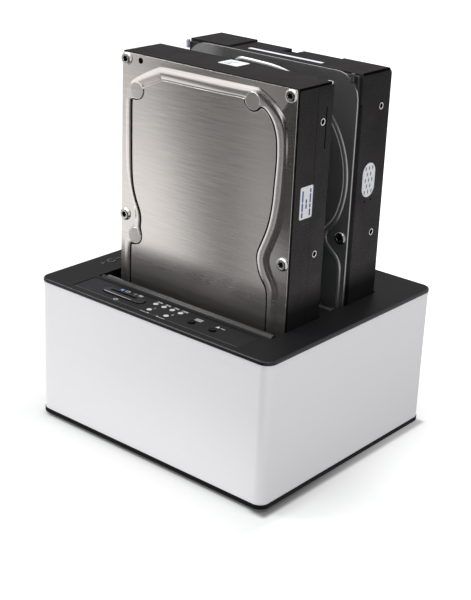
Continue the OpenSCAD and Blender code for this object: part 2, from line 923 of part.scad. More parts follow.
module disc_cave(w) {
    peg(disc_at, disc_cave_r, w);
    box([pivot_at[0] - 0.8 * platter_r, drive_w - 6.6], w, [cave_z, disc_at[1] - 0.72 * platter_r]);
    box([drive_w - 18, drive_w - 6], w, [disc_at[1] - 0.87 * platter_r, disc_at[1] - 0.38 * platter_r]);
}

module hdd_casting(k) {
    color("#141415")
        drive_place(k)
            difference() {
                union() {
                    difference() {
                        box([0, drive_w], [cast_w(k), drive_t], [0, drive_l]);
                        disc_cave([cast_w(k) - cut, hdd_floor]);
                        box([4.5, drive_w - 4.5], [drive_t - board_pocket, drive_t + cut],
                            [-cut, hdd_board_l + 2]);
                        box([6, drive_w - 6], [drive_t - 2, drive_t + cut], [hdd_board_l + 6, drive_l - 5]);
                    }
                    peg(disc_at, spindle_r, [arm_w[1] + 0.3, hdd_floor + eps]);
                    peg(pivot_at, pivot_r, [arm_w[0] + 0.6, hdd_floor + eps]);
                    peg(disc_at, 18, [drive_t - 3, drive_t - 0.6]);
                }
                box([plug_u - plug_l / 2 - 0.2, plug_u + plug_l / 2 + 0.2],
                    [plug_w - plug_t / 2 - 0.2, drive_t], [-cut, plug_h + 0.2]);
                for (s = [0, 1], z = [28.5, 70.1, 130.1])
                    translate([s * drive_w, drive_t - 6.35, z])
                        rotate([0, s == 0 ? 90 : -90, 0])
                            translate([0, 0, -cut])
                                cylinder(r = 1.6, h = 4 + cut);
                for (p = cover_screw_at[k - 1])
                    peg([p[0], drive_l - p[1]], tap_r, [0, cast_w(k) + 6]);
                hdd_casting_cuts(k);
            }
}

// End and side details that tell the two castings apart
module hdd_casting_cuts(k) {
    if (k == 1) {
        box([drive_w - 0.4, drive_w + cut], [drive_t - 4.4, drive_t - 3.7], [drive_l - 29.3, drive_l - 10.8]);
        box([drive_w - 0.2, drive_w + cut], [14.6, 15], [drive_l - 46, drive_l - 2.5]);
    } else {
        box([0.437 * drive_w, 0.508 * drive_w], [drive_t - 8, drive_t + cut], [drive_l - 2.4, drive_l + cut]);
        box([0.228 * drive_w, 0.738 * drive_w], [0, drive_t + cut], [drive_l - 1, drive_l + cut]);
        box([0.738 * drive_w - eps, drive_w + cut], [0, drive_t + cut], [drive_l - end_step, drive_l + cut]);
        difference() {
            box([drive_w - end_round, drive_w + cut], [0, drive_t + cut],
                [drive_l - end_step - end_round, drive_l + cut]);
            peg([drive_w - end_round, drive_l - end_step - end_round], end_round, [-cut, drive_t + 2 * cut]);
        }
        box([-cut, drive_w + cut], [0, cast_w(k) + 1.2], [-cut, drive_l - 14]);
    }
}

module hdd_casting_1() {
    hdd_casting(1);
}

module hdd_casting_2() {
    hdd_casting(2);
}

module hdd_seal(k) {
    edge = [0.4, 1.2][k - 1];
    color("#1a1a1a")
        drive_place(k)
            difference() {
                box([edge, drive_w - edge], [cover_t, cast_w(k)], [edge, drive_l - edge]);
                disc_cave([0, cast_w(k) + cut]);
                for (p = cover_screw_at[k - 1])
                    peg([p[0], drive_l - p[1]], free_r, [0, cast_w(k) + cut]);
            }
}

module hdd_seal_1() {
    hdd_seal(1);
}

module hdd_seal_2() {
    hdd_seal(2);
}

module cover_screw_holes(k) {
    for (p = cover_screw_at[k - 1])
        peg([p[0], drive_l - p[1]], shaft_r + 0.1, [-bead_h - cut, cover_t + cut]);
}

module hdd_cover_1() {
    edge = 0.3;
    color("#a8a6a0")
        drive_place(1)
            difference() {
                union() {
                    box([edge, drive_w - edge], [0, cover_t], [edge, drive_l - edge]);
                    difference() {
                        sheet([-bead_h, eps])
                            polygon(loop(bead_out, 4));
                        sheet([-bead_h - cut, -0.2])
                            polygon(loop(bead_in, 4));
                    }
                    for (p = [[0.0945, 0.1116], [0.7756, 0.0619], [0.0925, 0.5891]])
                        peg(cover_at(p), 4.2, [-bead_h, 0]);
                }
                peg(cover_at([0.1152, 0.0197]), 1.2, [-cut, cover_t + cut]);
                cover_screw_holes(1);
            }
}

module hdd_cover_2() {
    edge = 0.2;
    r = 12;
    color("#48484a")
        drive_place(2)
            difference() {
                union() {
                    translate([drive_w / 2, 0, drive_l / 2])
                        rotate([90, 0, 0])
                            translate([0, 0, -cover_t])
                                linear_extrude(cover_t)
                                    rounded_rect(drive_w - 2 * edge, drive_l - 2 * edge, r);
                    difference() {
                        peg(disc_at, platter_r + 0.4, [-bead_h, eps]);
                        peg(disc_at, platter_r - 2.2, [-bead_h - cut, -0.15]);
                        for (p = cover_screw_at[1])
                            peg([p[0], drive_l - p[1]], 7.5, [-bead_h - cut, 0]);
                    }
                }
                cover_screw_holes(2);
            }
}

module hdd_cover_screws(k) {
    color("silver")
        drive_place(k)
            for (p = cover_screw_at[k - 1])
                difference() {
                    union() {
                        peg([p[0], drive_l - p[1]], screw_head_r, [-screw_head_h, 0]);
                        peg([p[0], drive_l - p[1]], shaft_r, [-eps, cast_w(k) + 5]);
                    }
                    for (a = [0, 60, 120])
                        translate([p[0], -screw_head_h, drive_l - p[1]])
                            rotate([0, a, 0])
                                cube([2.6, 1.2, 0.8], center = true);
                }
}

module hdd_cover_screws_1() {
    hdd_cover_screws(1);
}

module hdd_cover_screws_2() {
    hdd_cover_screws(2);
}

module hdd_platters(k) {
    disc_w = arm_w[1] + 0.8;
    color("#c9ccd0")
        drive_place(k)
            difference() {
                union() {
                    peg(disc_at, hub_r, [arm_w[1] + 0.3, hdd_floor - 1]);
                    for (w = [disc_w, disc_w + 4.4])
                        peg(disc_at, platter_r, [w, w + platter_t]);
                }
                peg(disc_at, spindle_r + 0.05, [0, drive_t]);
            }
}

module hdd_platters_1() {
    hdd_platters(1);
}

module hdd_platters_2() {
    hdd_platters(2);
}

module hdd_head_arm(k) {
    color("#b9b9b4")
        drive_place(k)
            difference() {
                union() {
                    peg(pivot_at, 7, [arm_w[0] - 0.2, hdd_floor - 2]);
                    translate([pivot_at[0], 0, pivot_at[1]])
                        rotate([0, -arm_park, 0]) {
                            sheet(arm_w)
                                polygon([[5, -5], [arm_reach, -1.2], [arm_reach, 1.2], [5, 5]]);
                            sheet([6, 7.4])
                                polygon([[-5, 5], [-tail_l, 9], [-tail_l, -9], [-5, -5]]);
                        }
                }
                peg(pivot_at, pivot_r + 0.05, [0, drive_t]);
            }
}

module hdd_head_arm_1() {
    hdd_head_arm(1);
}

module hdd_head_arm_2() {
    hdd_head_arm(2);
}

module hdd_magnet(k) {
    color("#8d8f93")
        drive_place(k)
            difference() {
                box([pivot_at[0] - 24, drive_w - 14], [8, hdd_floor], [cave_z + 0.5, pivot_at[1] - 9]);
                peg(pivot_at, 8, [7, hdd_floor + cut]);
            }
}

module hdd_magnet_1() {
    hdd_magnet(1);
}

module hdd_magnet_2() {
    hdd_magnet(2);
}

module hdd_board(k) {
    color("#0f4a34")
        drive_place(k)
            box([6, drive_w - 6], [plug_w + plug_t / 2, plug_w + plug_t / 2 + 1.2], [1, hdd_board_l]);
}

module hdd_board_1() {
    hdd_board(1);
}

module hdd_board_2() {
    hdd_board(2);
}

module hdd_plug(k) {
    w0 = plug_w - plug_t / 2;
    wall = 0.6;
    color("#101010")
        drive_place(k) {
            difference() {
                box([plug_u - plug_l / 2, plug_u + plug_l / 2], [w0, w0 + plug_t], [0, plug_h]);
                box([plug_u - nose_l / 2 - wall, plug_u + nose_l / 2 + wall],
                    [w0 + wall, w0 + plug_t - wall], [-cut, plug_h - 1.2]);
            }
            box([plug_u - tongue_l / 2, plug_u + tongue_l / 2],
                [plug_w - tongue_t / 2, plug_w + tongue_t / 2], [1.4, plug_h - 1]);
        }
}

module hdd_plug_1() {
    hdd_plug(1);
}

module hdd_plug_2() {
    hdd_plug(2);
}

outer_sleeve();
deck();
base_plate();
feet();
base_screws();
bay_liner_1();
bay_liner_2();
liner_screws();
flap_1();
flap_2();
flap_pin_1();
flap_pin_2();
flap_spring_1();
flap_spring_2();
panel_overlay();
power_button();
mode_button();
start_button();
power_plunger();
mode_plunger();
start_plunger();
switch_bodies();
mode_light_lit();
mode_light_off();
progress_lights();
drive_lights();
indicator_leds();
control_board();
control_screws();
ribbon_cable();
main_board();
board_screws();
sata_socket_1();
sata_socket_2();
bridge_chips();
capacitors();
usb_port();
usb_tongue();
power_jack();
rear_plate();
hdd_casting_1();
hdd_casting_2();
hdd_seal_1();
hdd_seal_2();
hdd_cover_1();
hdd_cover_2();
hdd_cover_screws_1();
hdd_cover_screws_2();
hdd_platters_1();
hdd_platters_2();
hdd_head_arm_1();
hdd_head_arm_2();
hdd_magnet_1();
hdd_magnet_2();
hdd_board_1();
hdd_board_2();
hdd_plug_1();
hdd_plug_2();
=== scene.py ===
"""Looks of the twin-bay drive dock with its two docked drives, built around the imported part."""

import math

import bpy
import numpy as np
from mathutils import Matrix, Vector


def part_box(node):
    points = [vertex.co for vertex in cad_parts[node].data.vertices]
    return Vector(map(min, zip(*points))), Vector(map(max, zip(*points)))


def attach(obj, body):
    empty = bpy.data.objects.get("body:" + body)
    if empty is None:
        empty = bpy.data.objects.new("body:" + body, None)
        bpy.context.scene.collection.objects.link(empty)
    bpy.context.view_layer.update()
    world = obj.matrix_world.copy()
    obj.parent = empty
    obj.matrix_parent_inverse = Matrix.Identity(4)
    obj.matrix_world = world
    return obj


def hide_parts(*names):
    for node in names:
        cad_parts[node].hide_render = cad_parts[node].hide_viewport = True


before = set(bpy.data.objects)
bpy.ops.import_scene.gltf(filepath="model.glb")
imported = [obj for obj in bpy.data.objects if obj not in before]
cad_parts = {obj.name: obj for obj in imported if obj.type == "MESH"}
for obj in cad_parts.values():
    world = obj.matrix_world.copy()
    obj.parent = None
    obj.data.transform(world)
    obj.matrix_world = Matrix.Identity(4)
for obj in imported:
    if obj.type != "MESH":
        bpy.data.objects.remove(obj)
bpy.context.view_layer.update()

bl_info = {
    "name": "Twin-bay drive dock",
    "version": (1, 0, 0),
    "blender": (4, 5, 0),
    "location": "View3D > Sidebar > Dock",
    "description": "Dresses the packed drive dock with modelled pieces and finishes",
    "category": "Object",
}

MM = 0.001
# Points closer than this, in metres, are one point, and faces within this angle, in degrees, are one face
MERGE = 2e-6
FLAT_WITHIN = 0.6

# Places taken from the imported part, in millimetres


def span(node):
    low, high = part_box(node)
    return [c / MM for c in low], [c / MM for c in high]


def middle_of(node):
    """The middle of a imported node, seen from above."""
    low, high = span(node)
    return (low[0] + high[0]) / 2, (low[1] + high[1]) / 2


DRIVES = (1, 2)
BODY = {1: "front_drive", 2: "rear_drive"}
SLEEVE_LOW, SLEEVE_HIGH = span("outer_sleeve")
OVERLAY_LOW, OVERLAY_HIGH = span("panel_overlay")
CASTING = {k: span(f"hdd_casting_{k}") for k in DRIVES}
COVER = {k: span(f"hdd_cover_{k}") for k in DRIVES}
DECK_TOP = span("deck")[1][2]
OVERLAY_TOP = OVERLAY_HIGH[2]
POWER_TOP = span("power_button")[1][2]
DRIVE_X = CASTING[1][0][0]
DRIVE_RIGHT = CASTING[1][1][0]
DRIVE_W = DRIVE_RIGHT - DRIVE_X
DRIVE_FOOT = CASTING[1][0][2]
DRIVE_TOP = CASTING[1][1][2]
# A cover's bead stands this far out of its face
BEAD = 0.7
FACE_Y = {k: COVER[k][0][1] + BEAD for k in DRIVES}


# Selecting and placing


def rest():
    if bpy.context.object is not None and bpy.context.object.mode != "OBJECT":
        bpy.ops.object.mode_set(mode="OBJECT")
    bpy.ops.object.select_all(action="DESELECT")


def pick(*pieces):
    rest()
    for piece in pieces:
        piece.select_set(True)
    bpy.context.view_layer.objects.active = pieces[0]
    return pieces[0]


def edit(piece, kind="EDGE", action="SELECT"):
    """Opens a piece in edit mode, with all or nothing of it selected."""
    pick(piece)
    bpy.ops.object.mode_set(mode="EDIT")
    bpy.ops.mesh.select_mode(type=kind)
    bpy.ops.mesh.select_all(action=action)


def settle(piece):
    """Puts the place, turn and scale of a piece into its mesh."""
    pick(piece)
    bpy.ops.object.transform_apply(location=True, rotation=True, scale=True)
    return piece


def place(piece, at, turn=(0, 0, 0)):
    """Turns a piece by degrees round its axes, moves it to a place in millimetres and settles it."""
    piece.rotation_euler = [math.radians(angle) for angle in turn]
    piece.location = Vector(at) * MM
    return settle(piece)


def named(piece, name):
    piece.name = name
    piece.data.name = name
    return piece


def block(name, low, high):
    rest()
    middle = [(a + b) / 2 * MM for a, b in zip(low, high)]
    bpy.ops.mesh.primitive_cube_add(size=1, location=middle)
    piece = bpy.context.object
    piece.scale = [(b - a) * MM for a, b in zip(low, high)]
    return named(settle(piece), name)


def drum(name, at, r, z, sides=48):
    rest()
    bpy.ops.mesh.primitive_cylinder_add(
        vertices=sides, radius=r * MM, depth=(z[1] - z[0]) * MM,
        location=(at[0] * MM, at[1] * MM, (z[0] + z[1]) / 2 * MM))
    return named(settle(bpy.context.object), name)


def pill(name, at, length, width, z, sides=40):
    """A flat bar with round ends: a drum whose two halves are moved apart."""
    piece = drum(name, at, width / 2, z, sides)
    half = (length - width) / 2 * MM
    for v in piece.data.vertices:
        off = v.co.x - at[0] * MM
        v.co.x += half if off > 1e-7 else -half if off < -1e-7 else 0.0
    return piece


def round_edges(piece, test, width, segments=4):
    """Rounds the edges whose two ends, in millimetres, pass the test."""
    edit(piece, action="DESELECT")
    bpy.ops.object.mode_set(mode="OBJECT")
    verts = piece.data.vertices
    for edge in piece.data.edges:
        a, b = (verts[i].co / MM for i in edge.vertices)
        edge.select = bool(test(a, b))
    bpy.ops.object.mode_set(mode="EDIT")
    bpy.ops.mesh.bevel(offset=width * MM, segments=segments, profile=0.5, affect="EDGES",
                       clamp_overlap=True)
    bpy.ops.object.mode_set(mode="OBJECT")
    return piece


def apply_all(piece):
    pick(piece)
    for modifier in list(piece.modifiers):
        bpy.ops.object.modifier_apply(modifier=modifier.name)
    return piece


def carve(piece, *tools):
    for tool in tools:
        cut = piece.modifiers.new("carve", "BOOLEAN")
        cut.operation = "DIFFERENCE"
        cut.solver = "EXACT"
        cut.object = tool
        apply_all(piece)
        bpy.data.objects.remove(tool)
    return piece


def smooth(piece, degrees=35):
    pick(piece)
    bpy.ops.object.shade_smooth_by_angle(angle=math.radians(degrees), keep_sharp_edges=False)
    return piece


def evened(piece):
    """Lets the large faces set the shading, so that small edge faces don't bend it."""
    even = piece.modifiers.new("even", "WEIGHTED_NORMAL")
    even.mode = "FACE_AREA"
    even.keep_sharp = True
    return apply_all(piece)


def soften(piece, width, segments=2, degrees=35):
    edge = piece.modifiers.new("edge", "BEVEL")
    edge.width = width * MM
    edge.segments = segments
    edge.limit_method = "ANGLE"
    edge.angle_limit = math.radians(degrees)
    edge.use_clamp_overlap = True
    apply_all(piece)
    return evened(smooth(piece, degrees))


def thicken(piece, thick, offset=0.0):
    """Gives an open sheet a thickness, so that it is closed."""
    solid = piece.modifiers.new("thick", "SOLIDIFY")
    solid.thickness = thick * MM
    solid.offset = offset
    return apply_all(piece)


def from_cad(node, name, edge=0.0, segments=2):
    """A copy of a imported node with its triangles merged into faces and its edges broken."""
    piece = bpy.data.objects.new(name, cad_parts[node].data.copy())
    bpy.context.scene.collection.objects.link(piece)
    for key in list(piece.keys()):
        del piece[key]
    named(piece, name)
    piece.data.materials.clear()
    pick(piece)
    if piece.data.has_custom_normals:
        bpy.ops.mesh.customdata_custom_splitnormals_clear()
    edit(piece, "VERT")
    bpy.ops.mesh.remove_doubles(threshold=MERGE)
    bpy.ops.mesh.dissolve_limited(angle_limit=math.radians(FLAT_WITHIN))
    bpy.ops.object.mode_set(mode="OBJECT")
    if edge > 0:
        return soften(piece, edge, segments)
    return smooth(piece)


def join(name, *pieces):
    pick(*pieces)
    if len(pieces) > 1:
        bpy.ops.object.join()
    return named(bpy.context.object, name)


def twin(piece, move=(0, 0, 0)):
    """A copy with its own mesh, moved in millimetres."""
    pick(piece)
    bpy.ops.object.duplicate()
    return place(bpy.context.object, move)


def drop(*pieces):
    """Removes models that have been copied to their places."""
    for piece in pieces:
        bpy.data.objects.remove(piece)


def wear(piece, body, material, nodes=()):
    """Gives a finished piece its material, its body and the nodes it stands for."""
    piece.data.materials.clear()
    piece.data.materials.append(material)
    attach(piece, body)
    if nodes:
        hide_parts(*nodes)
    return piece


def wear_painted_shade(piece, body):
    """Gives a gap, a bore, a slot or a seam a flat black that stands for the shade in it: painted shade."""
    return wear(piece, body, look("hollow"))


def dress(node, material):
    """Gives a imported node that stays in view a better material."""
    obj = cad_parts[node]
    if not obj.material_slots:
        obj.data.materials.append(material)
    for slot in obj.material_slots:
        slot.material = material


# Finishes


RANGE = ("From Min", "From Max", "To Min", "To Max")
# Stretches of a noise over which the tone, the slow tone and the roughness change
TONE_STOPS = (0.28, 0.72)
POOL_STOPS = (0.3, 0.7)
DULL_STOPS = (0.25, 0.75)
RELIEF = 0.4 * MM
LEVEL_BRUSH = 0.25


def add_node(tree, kind, inputs=(), **settings):
    """A new shader node; an input is a number to keep or a socket to link."""
    node = tree.nodes.new("ShaderNode" + kind)
    for key, choice in settings.items():
        setattr(node, key, choice)
    for key, value in dict(inputs).items():
        if isinstance(value, bpy.types.NodeSocket):
            tree.links.new(value, node.inputs[key])
        else:
            node.inputs[key].default_value = value
    return node


def ranged(tree, value, limits, how="LINEAR"):
    """A value taken from one range to another, and held at both ends."""
    node = add_node(tree, "MapRange", zip(RANGE, limits), interpolation_type=how)
    tree.links.new(value, node.inputs["Value"])
    return node.outputs["Result"]


def combine(tree, how, a, b):
    return add_node(tree, "Math", {0: a, 1: b}, operation=how).outputs[0]


def scaled(tree, colour, by):
    return add_node(tree, "VectorMath", {0: colour, "Scale": by}, operation="SCALE").outputs["Vector"]


def finish(name, colour, rough, metallic=0.0, tone=0.12, grain=(400, 400, 400), rough_spread=0.08,
           bump=0.02, bump_size=900, specular=0.5, pool=None, gloss=None, brushed=0.0, painted_light_and_shade=(), glow=0.0):
    """A procedural finish on Object coordinates.

    grain stretches the tone pattern, bump_size sets the fine relief, pool is a slow second tone as
    (scale, amount), and gloss changes what lies below a height, as (height, depth, roughness, specular
    level). brushed draws reflections out across level brush lines, each band of painted light and shade
    scales the tone between two heights, as (low, high, scale at low, scale at high), and glow is the
    strength of its own light.
    """
    if name in bpy.data.materials:
        return bpy.data.materials[name]
    mat = bpy.data.materials.new(name)
    mat.use_nodes = True
    tree = mat.node_tree
    link = tree.links.new
    shader = tree.nodes["Principled BSDF"].inputs
    shader["Metallic"].default_value = metallic
    shader["Specular IOR Level"].default_value = specular
    shader["Anisotropic"].default_value = brushed
    shader["Anisotropic Rotation"].default_value = LEVEL_BRUSH if brushed else 0.0
    if glow:
        shader["Emission Color"].default_value = (*colour, 1)
        shader["Emission Strength"].default_value = glow
    coord = add_node(tree, "TexCoord").outputs["Object"]
    height = add_node(tree, "SeparateXYZ", {0: coord}).outputs["Z"] if gloss or painted_light_and_shade else None
    stretch = add_node(tree, "Mapping", {"Vector": coord, "Scale": grain}).outputs["Vector"]
    noise = add_node(tree, "TexNoise", {"Vector": stretch, "Scale": 1.0, "Detail": 4,
                                        "Roughness": 0.6}).outputs["Fac"]
    ramp = add_node(tree, "ValToRGB", {"Fac": noise})
    for stop, at, share in zip(ramp.color_ramp.elements, TONE_STOPS, (1 - tone, 1 + tone)):
        stop.position = at
        stop.color = (*[min(max(c * share, 0.0), 1.0) for c in colour], 1)
    shade = ramp.outputs["Color"]
    if pool:
        scale, amount = pool
        slow = add_node(tree, "TexNoise", {"Vector": coord, "Scale": scale, "Detail": 2}).outputs["Fac"]
        shade = scaled(tree, shade, ranged(tree, slow, (*POOL_STOPS, 1 - amount, 1 + amount)))
    for fade in painted_light_and_shade:
        shade = scaled(tree, shade, ranged(tree, height, fade))
    link(shade, shader["Base Color"])
    dull = ranged(tree, noise, (*DULL_STOPS, max(0.02, rough - rough_spread), min(1.0, rough + rough_spread)))
    if gloss:
        top, depth, polish, level = gloss
        band = (top - depth, top - depth * 0.1)
        dull = combine(tree, "MULTIPLY", dull, ranged(tree, height, (*band, polish / rough, 1.0)))
        if level != specular:
            link(ranged(tree, height, (*band, level, specular)), shader["Specular IOR Level"])
    link(dull, shader["Roughness"])
    if bump > 0:
        fine = add_node(tree, "TexNoise", {"Vector": coord, "Scale": bump_size, "Detail": 3}).outputs["Fac"]
        relief = add_node(tree, "Bump", {"Strength": bump, "Distance": RELIEF, "Height": fine})
        link(relief.outputs["Normal"], shader["Normal"])
    return mat


# Each finish: its material's name, its colour or the user's colour that it takes, its roughness and the rest
LOOKS = {
    "sleeve": ("satin_aluminium", "sleeve", 0.4, dict(
        metallic=0.15, tone=0.012, grain=(25, 25, 2600), rough_spread=0.05, bump_size=1800)),
    "plastic": ("moulded_black_plastic", "plastic", 0.5, dict(
        tone=0.25, grain=[900] * 3, rough_spread=0.06, bump=0.08, bump_size=2600, specular=0.04,
        gloss=(DECK_TOP * MM, 0.22 * MM, 0.24, 0.3))),
    "plain_plastic": ("plain_black_plastic", (0.006, 0.006, 0.0065), 0.6, dict(
        tone=0.25, grain=[900] * 3, rough_spread=0.06, bump=0.08, bump_size=2600, specular=0.06)),
    # A light grey strip for the power button's front edge: a painted highlight.
    "painted_highlight": ("worn_key_edge", (0.42, 0.42, 0.43), 0.35, dict(tone=0.15)),
    # The lighter copy of the deck's marks: painted light on their tops.
    "raised": ("raised_black_plastic", (0.05, 0.05, 0.052), 0.3, dict(tone=0.2, specular=0.08)),
    "overlay": ("printed_panel_film", "overlay", 0.45, dict(
        tone=0.15, grain=[700] * 3, rough_spread=0.05, bump=0.03, bump_size=2200, specular=0.06)),
    # A light line for the panel film's front edge: a painted highlight.
    "film_line": ("film_edge_line", (0.1, 0.1, 0.105), 0.4, dict(tone=0.2, specular=0.2)),
    "key": ("black_key", (0.003, 0.003, 0.003), 0.45, dict(
        tone=0.2, grain=[1200] * 3, rough_spread=0.05, bump_size=2500, specular=0.06)),
    "pill": ("black_power_pill", "overlay", 0.42, dict(
        tone=0.2, grain=[1200] * 3, rough_spread=0.05, bump_size=2500, specular=0.1,
        gloss=(POWER_TOP * MM, 0.1 * MM, 0.2, 1.0))),
    "flap": ("flap_grey_plastic", "flap", 0.3, dict(
        tone=0.18, grain=(500, 900, 900), rough_spread=0.06, bump=0.03, bump_size=2400, specular=0.28)),
    "rubber": ("rubber_foot", (0.012, 0.012, 0.012), 0.8, dict(tone=0.3, bump=0.2, bump_size=1500)),
    # The drive body's tone is painted lighter lower down, 1.9 times at 95 mm and less up to 181 mm, and
    # darker towards its foot, to a fifth below 80 mm: painted light and painted shade by height.
    "casting": ("black_cast_drive_body", "casting", 0.75, dict(
        tone=0.25, grain=[1100] * 3, rough_spread=0.07, bump=0.1, bump_size=2400, specular=0.02,
        pool=(60, 0.15), painted_light_and_shade=((95 * MM, 181 * MM, 1.9, 1.0), (80 * MM, 91 * MM, 0.2, 1.0)))),
    # The front cover's tone is painted darker towards the deck, to a quarter below 76 mm: painted shade by
    # height.
    "cover_bright": ("brushed_steel_cover", "cover_bright", 0.17, dict(
        metallic=1.0, tone=0.08, grain=(70, 70, 3200), rough_spread=0.02, bump=0.0, pool=(16, 0.03),
        brushed=0.7, gloss=(98 * MM, 20 * MM, 0.34, 0.5), painted_light_and_shade=((76 * MM, 92 * MM, 0.24, 1.0),))),
    "cover_dark": ("dark_coated_cover", "cover_dark", 0.3, dict(
        metallic=0.85, tone=0.03, grain=[300] * 3, rough_spread=0.03, bump=0.0)),
    "screw": ("bright_screw_steel", (0.58, 0.57, 0.55), 0.12, dict(
        metallic=1.0, grain=[900] * 3, rough_spread=0.07, bump_size=2500)),
    "dark_screw": ("dark_screw_steel", (0.3, 0.3, 0.305), 0.2, dict(
        metallic=1.0, grain=[900] * 3, rough_spread=0.06, bump_size=2500)),
    "edge_line": ("bare_cut_edge", (0.12, 0.12, 0.12), 0.36, dict(metallic=1.0, tone=0.1)),
    "steel": ("plain_steel", (0.55, 0.55, 0.55), 0.3, dict(metallic=1.0, tone=0.1, bump=0.03)),
    "dark_steel": ("blackened_spring_steel", (0.03, 0.03, 0.032), 0.4, dict(
        metallic=0.6, tone=0.2, bump=0.03)),
    "paper": ("white_paper_label", (0.86, 0.87, 0.9), 0.6, dict(
        tone=0.04, grain=[900] * 3, bump=0.04, bump_size=2500)),
    "print": ("white_panel_print", (0.55, 0.56, 0.57), 0.5, dict(tone=0.04, grain=[900] * 3)),
    "label_ink": ("blue_label_ink", (0.06, 0.07, 0.22), 0.6, dict(tone=0.1)),
    "seal_ink": ("grey_seal_ink", (0.16, 0.16, 0.17), 0.6, dict(tone=0.1)),
    # Flat black for gaps, bores, slots, seams and the marks' shadows: painted shade.
    "hollow": ("hollow_black", (0.002, 0.002, 0.002), 0.8, dict(tone=0.3, specular=0.01)),
    "post": ("pale_corner_post", (0.42, 0.43, 0.55), 0.4, dict(bump=0.04)),
    "post_dark": ("dark_corner_post", (0.045, 0.045, 0.048), 0.4, dict(tone=0.2, bump=0.04)),
    "solder_green": ("green_board", (0.006, 0.06, 0.035), 0.38, dict(
        tone=0.3, grain=[350] * 3, bump=0.05, bump_size=1600)),
    "chip": ("moulded_chip", (0.015, 0.015, 0.016), 0.5, dict(tone=0.3, bump=0.1)),
    "ribbon": ("ribbon_grey", (0.35, 0.36, 0.38), 0.5, dict(tone=0.2, grain=(1600, 100, 100), bump=0.05)),
    "capacitor": ("capacitor_sleeve", (0.02, 0.03, 0.08), 0.35, dict(tone=0.2, bump=0.03)),
    "tongue": ("blue_port_tongue", (0.02, 0.1, 0.5), 0.4, dict(bump=0.04)),
    "light_white": ("white_light_lens", (0.52, 0.53, 0.54), 0.2, dict(
        tone=0.1, grain=[1500] * 3, bump=0.01, glow=0.02)),
    "light_blue": ("blue_light_lens", (0.06, 0.17, 0.5), 0.2, dict(
        tone=0.1, grain=[1500] * 3, bump=0.01, glow=0.55)),
    "light_off": ("dark_light_lens", (0.1, 0.09, 0.09), 0.15, dict(tone=0.15, bump=0.01)),
    "flag": ("flag_cloth", (0.02, 0.02, 0.02), 0.9, dict(specular=0.0)),
}


def look(name):
    """The finish of that name."""
    title, colour, rough, more = LOOKS[name]
    if isinstance(colour, str):
        colour = getattr(bpy.context.scene.dock_colours, colour)
    return finish(title, colour, rough, **more)


# Sizes and colours that a user would change


def length(name, about, default, low, high):
    """A length for the panel, given in millimetres."""
    return bpy.props.FloatProperty(name=name, description=about, default=default * MM, min=low * MM,
                                   max=high * MM, unit="LENGTH", subtype="DISTANCE")


def hue(name, about, default):
    """A colour for the panel."""
    return bpy.props.FloatVectorProperty(name=name, description=about, default=default, size=3, min=0, max=1,
                                         subtype="COLOR")


class DockSizes(bpy.types.PropertyGroup):
    sleeve_corner: length("Sleeve corner", "Outside corner radius of the sleeve", 5, 1, 9)
    sleeve_wall: length("Sleeve wall", "Wall of the aluminium sleeve", 2, 1, 3)
    edge_break: length("Edge break", "Small rounding on moulded and cast edges", 0.25, 0.05, 0.6)
    screw_head: length("Screw head", "Head radius of a cover screw", 3.05, 2, 3.2)
    numeral: length("Numeral", "Height of the printed numerals", 1.9, 1, 3)
    bead_rise: length("Bead rise", "Height of the stamped bead on a cover", 0.68, 0.2, BEAD)


class DockColours(bpy.types.PropertyGroup):
    sleeve: hue("Sleeve", "Anodised aluminium of the sleeve", (0.884, 0.869, 0.886))
    plastic: hue("Case plastic", "Black plastic of the deck", (0.011, 0.011, 0.012))
    overlay: hue("Panel film", "Printed film of the panel and the power button", (0.0096, 0.0096, 0.0112))
    flap: hue("Dust flap", "Dark grey plastic of the dust flaps", (0.024, 0.024, 0.025))
    casting: hue("Drive body", "Black coating of a drive's casting", (0.03, 0.028, 0.0285))
    cover_bright: hue("Front cover", "Brushed steel of the front drive's cover", (0.872, 0.822, 0.79))
    cover_dark: hue("Rear cover", "Dark coating of the rear drive's cover", (0.4, 0.4, 0.405))
    floor: hue("Floor", "Pale studio floor", (0.75, 0.75, 0.75))


# Stage


CAMERA_AT = (379.551, -463.069, 305.713)
CAMERA_RIGHT = Vector((0.762029, 0.646337, 0.039494))
CAMERA_DOWN = Vector((0.270728, -0.262596, -0.926148))
CAMERA_AHEAD = Vector((-0.588233, 0.716444, -0.375087))
FOCAL_PIXELS = 1325.75
PICTURE_HEIGHT = 600
SENSOR = 36

FLOOR_SIZE = 30
# Dark cloths in front of the dock that only metal mirrors: name, middle and size
FLAGS = (("studio_flag_left", (-307, -720, 170), (265, 330)),
         ("studio_flag_right", (172, -720, 170), (495, 330)))
WORLD_TINT = (0.97, 0.985, 1.0, 1)
WORLD_LEVEL = 0.42
SUN_LEVEL, SUN_SPREAD, SUN_TILT = 2.0, 75, 12
KEY_AT, KEY_TARGET, KEY_SIZE, KEY_WATTS = (-720, -460, 880), (0, 0, 70), (420, 340), 3.4

# Directions on the floor along which its light changes
TO_BACK_RIGHT = (1, 1, 0)
MIRROR_RIGHT = (-0.773, 0.635, 0)
MIRROR_LEFT = (-0.7, 0.725, 0)
MIRROR_AWAY = (-0.588, -0.716, 0)
# Share of its colour that the dimmed floor keeps
DIMMED = 0.2
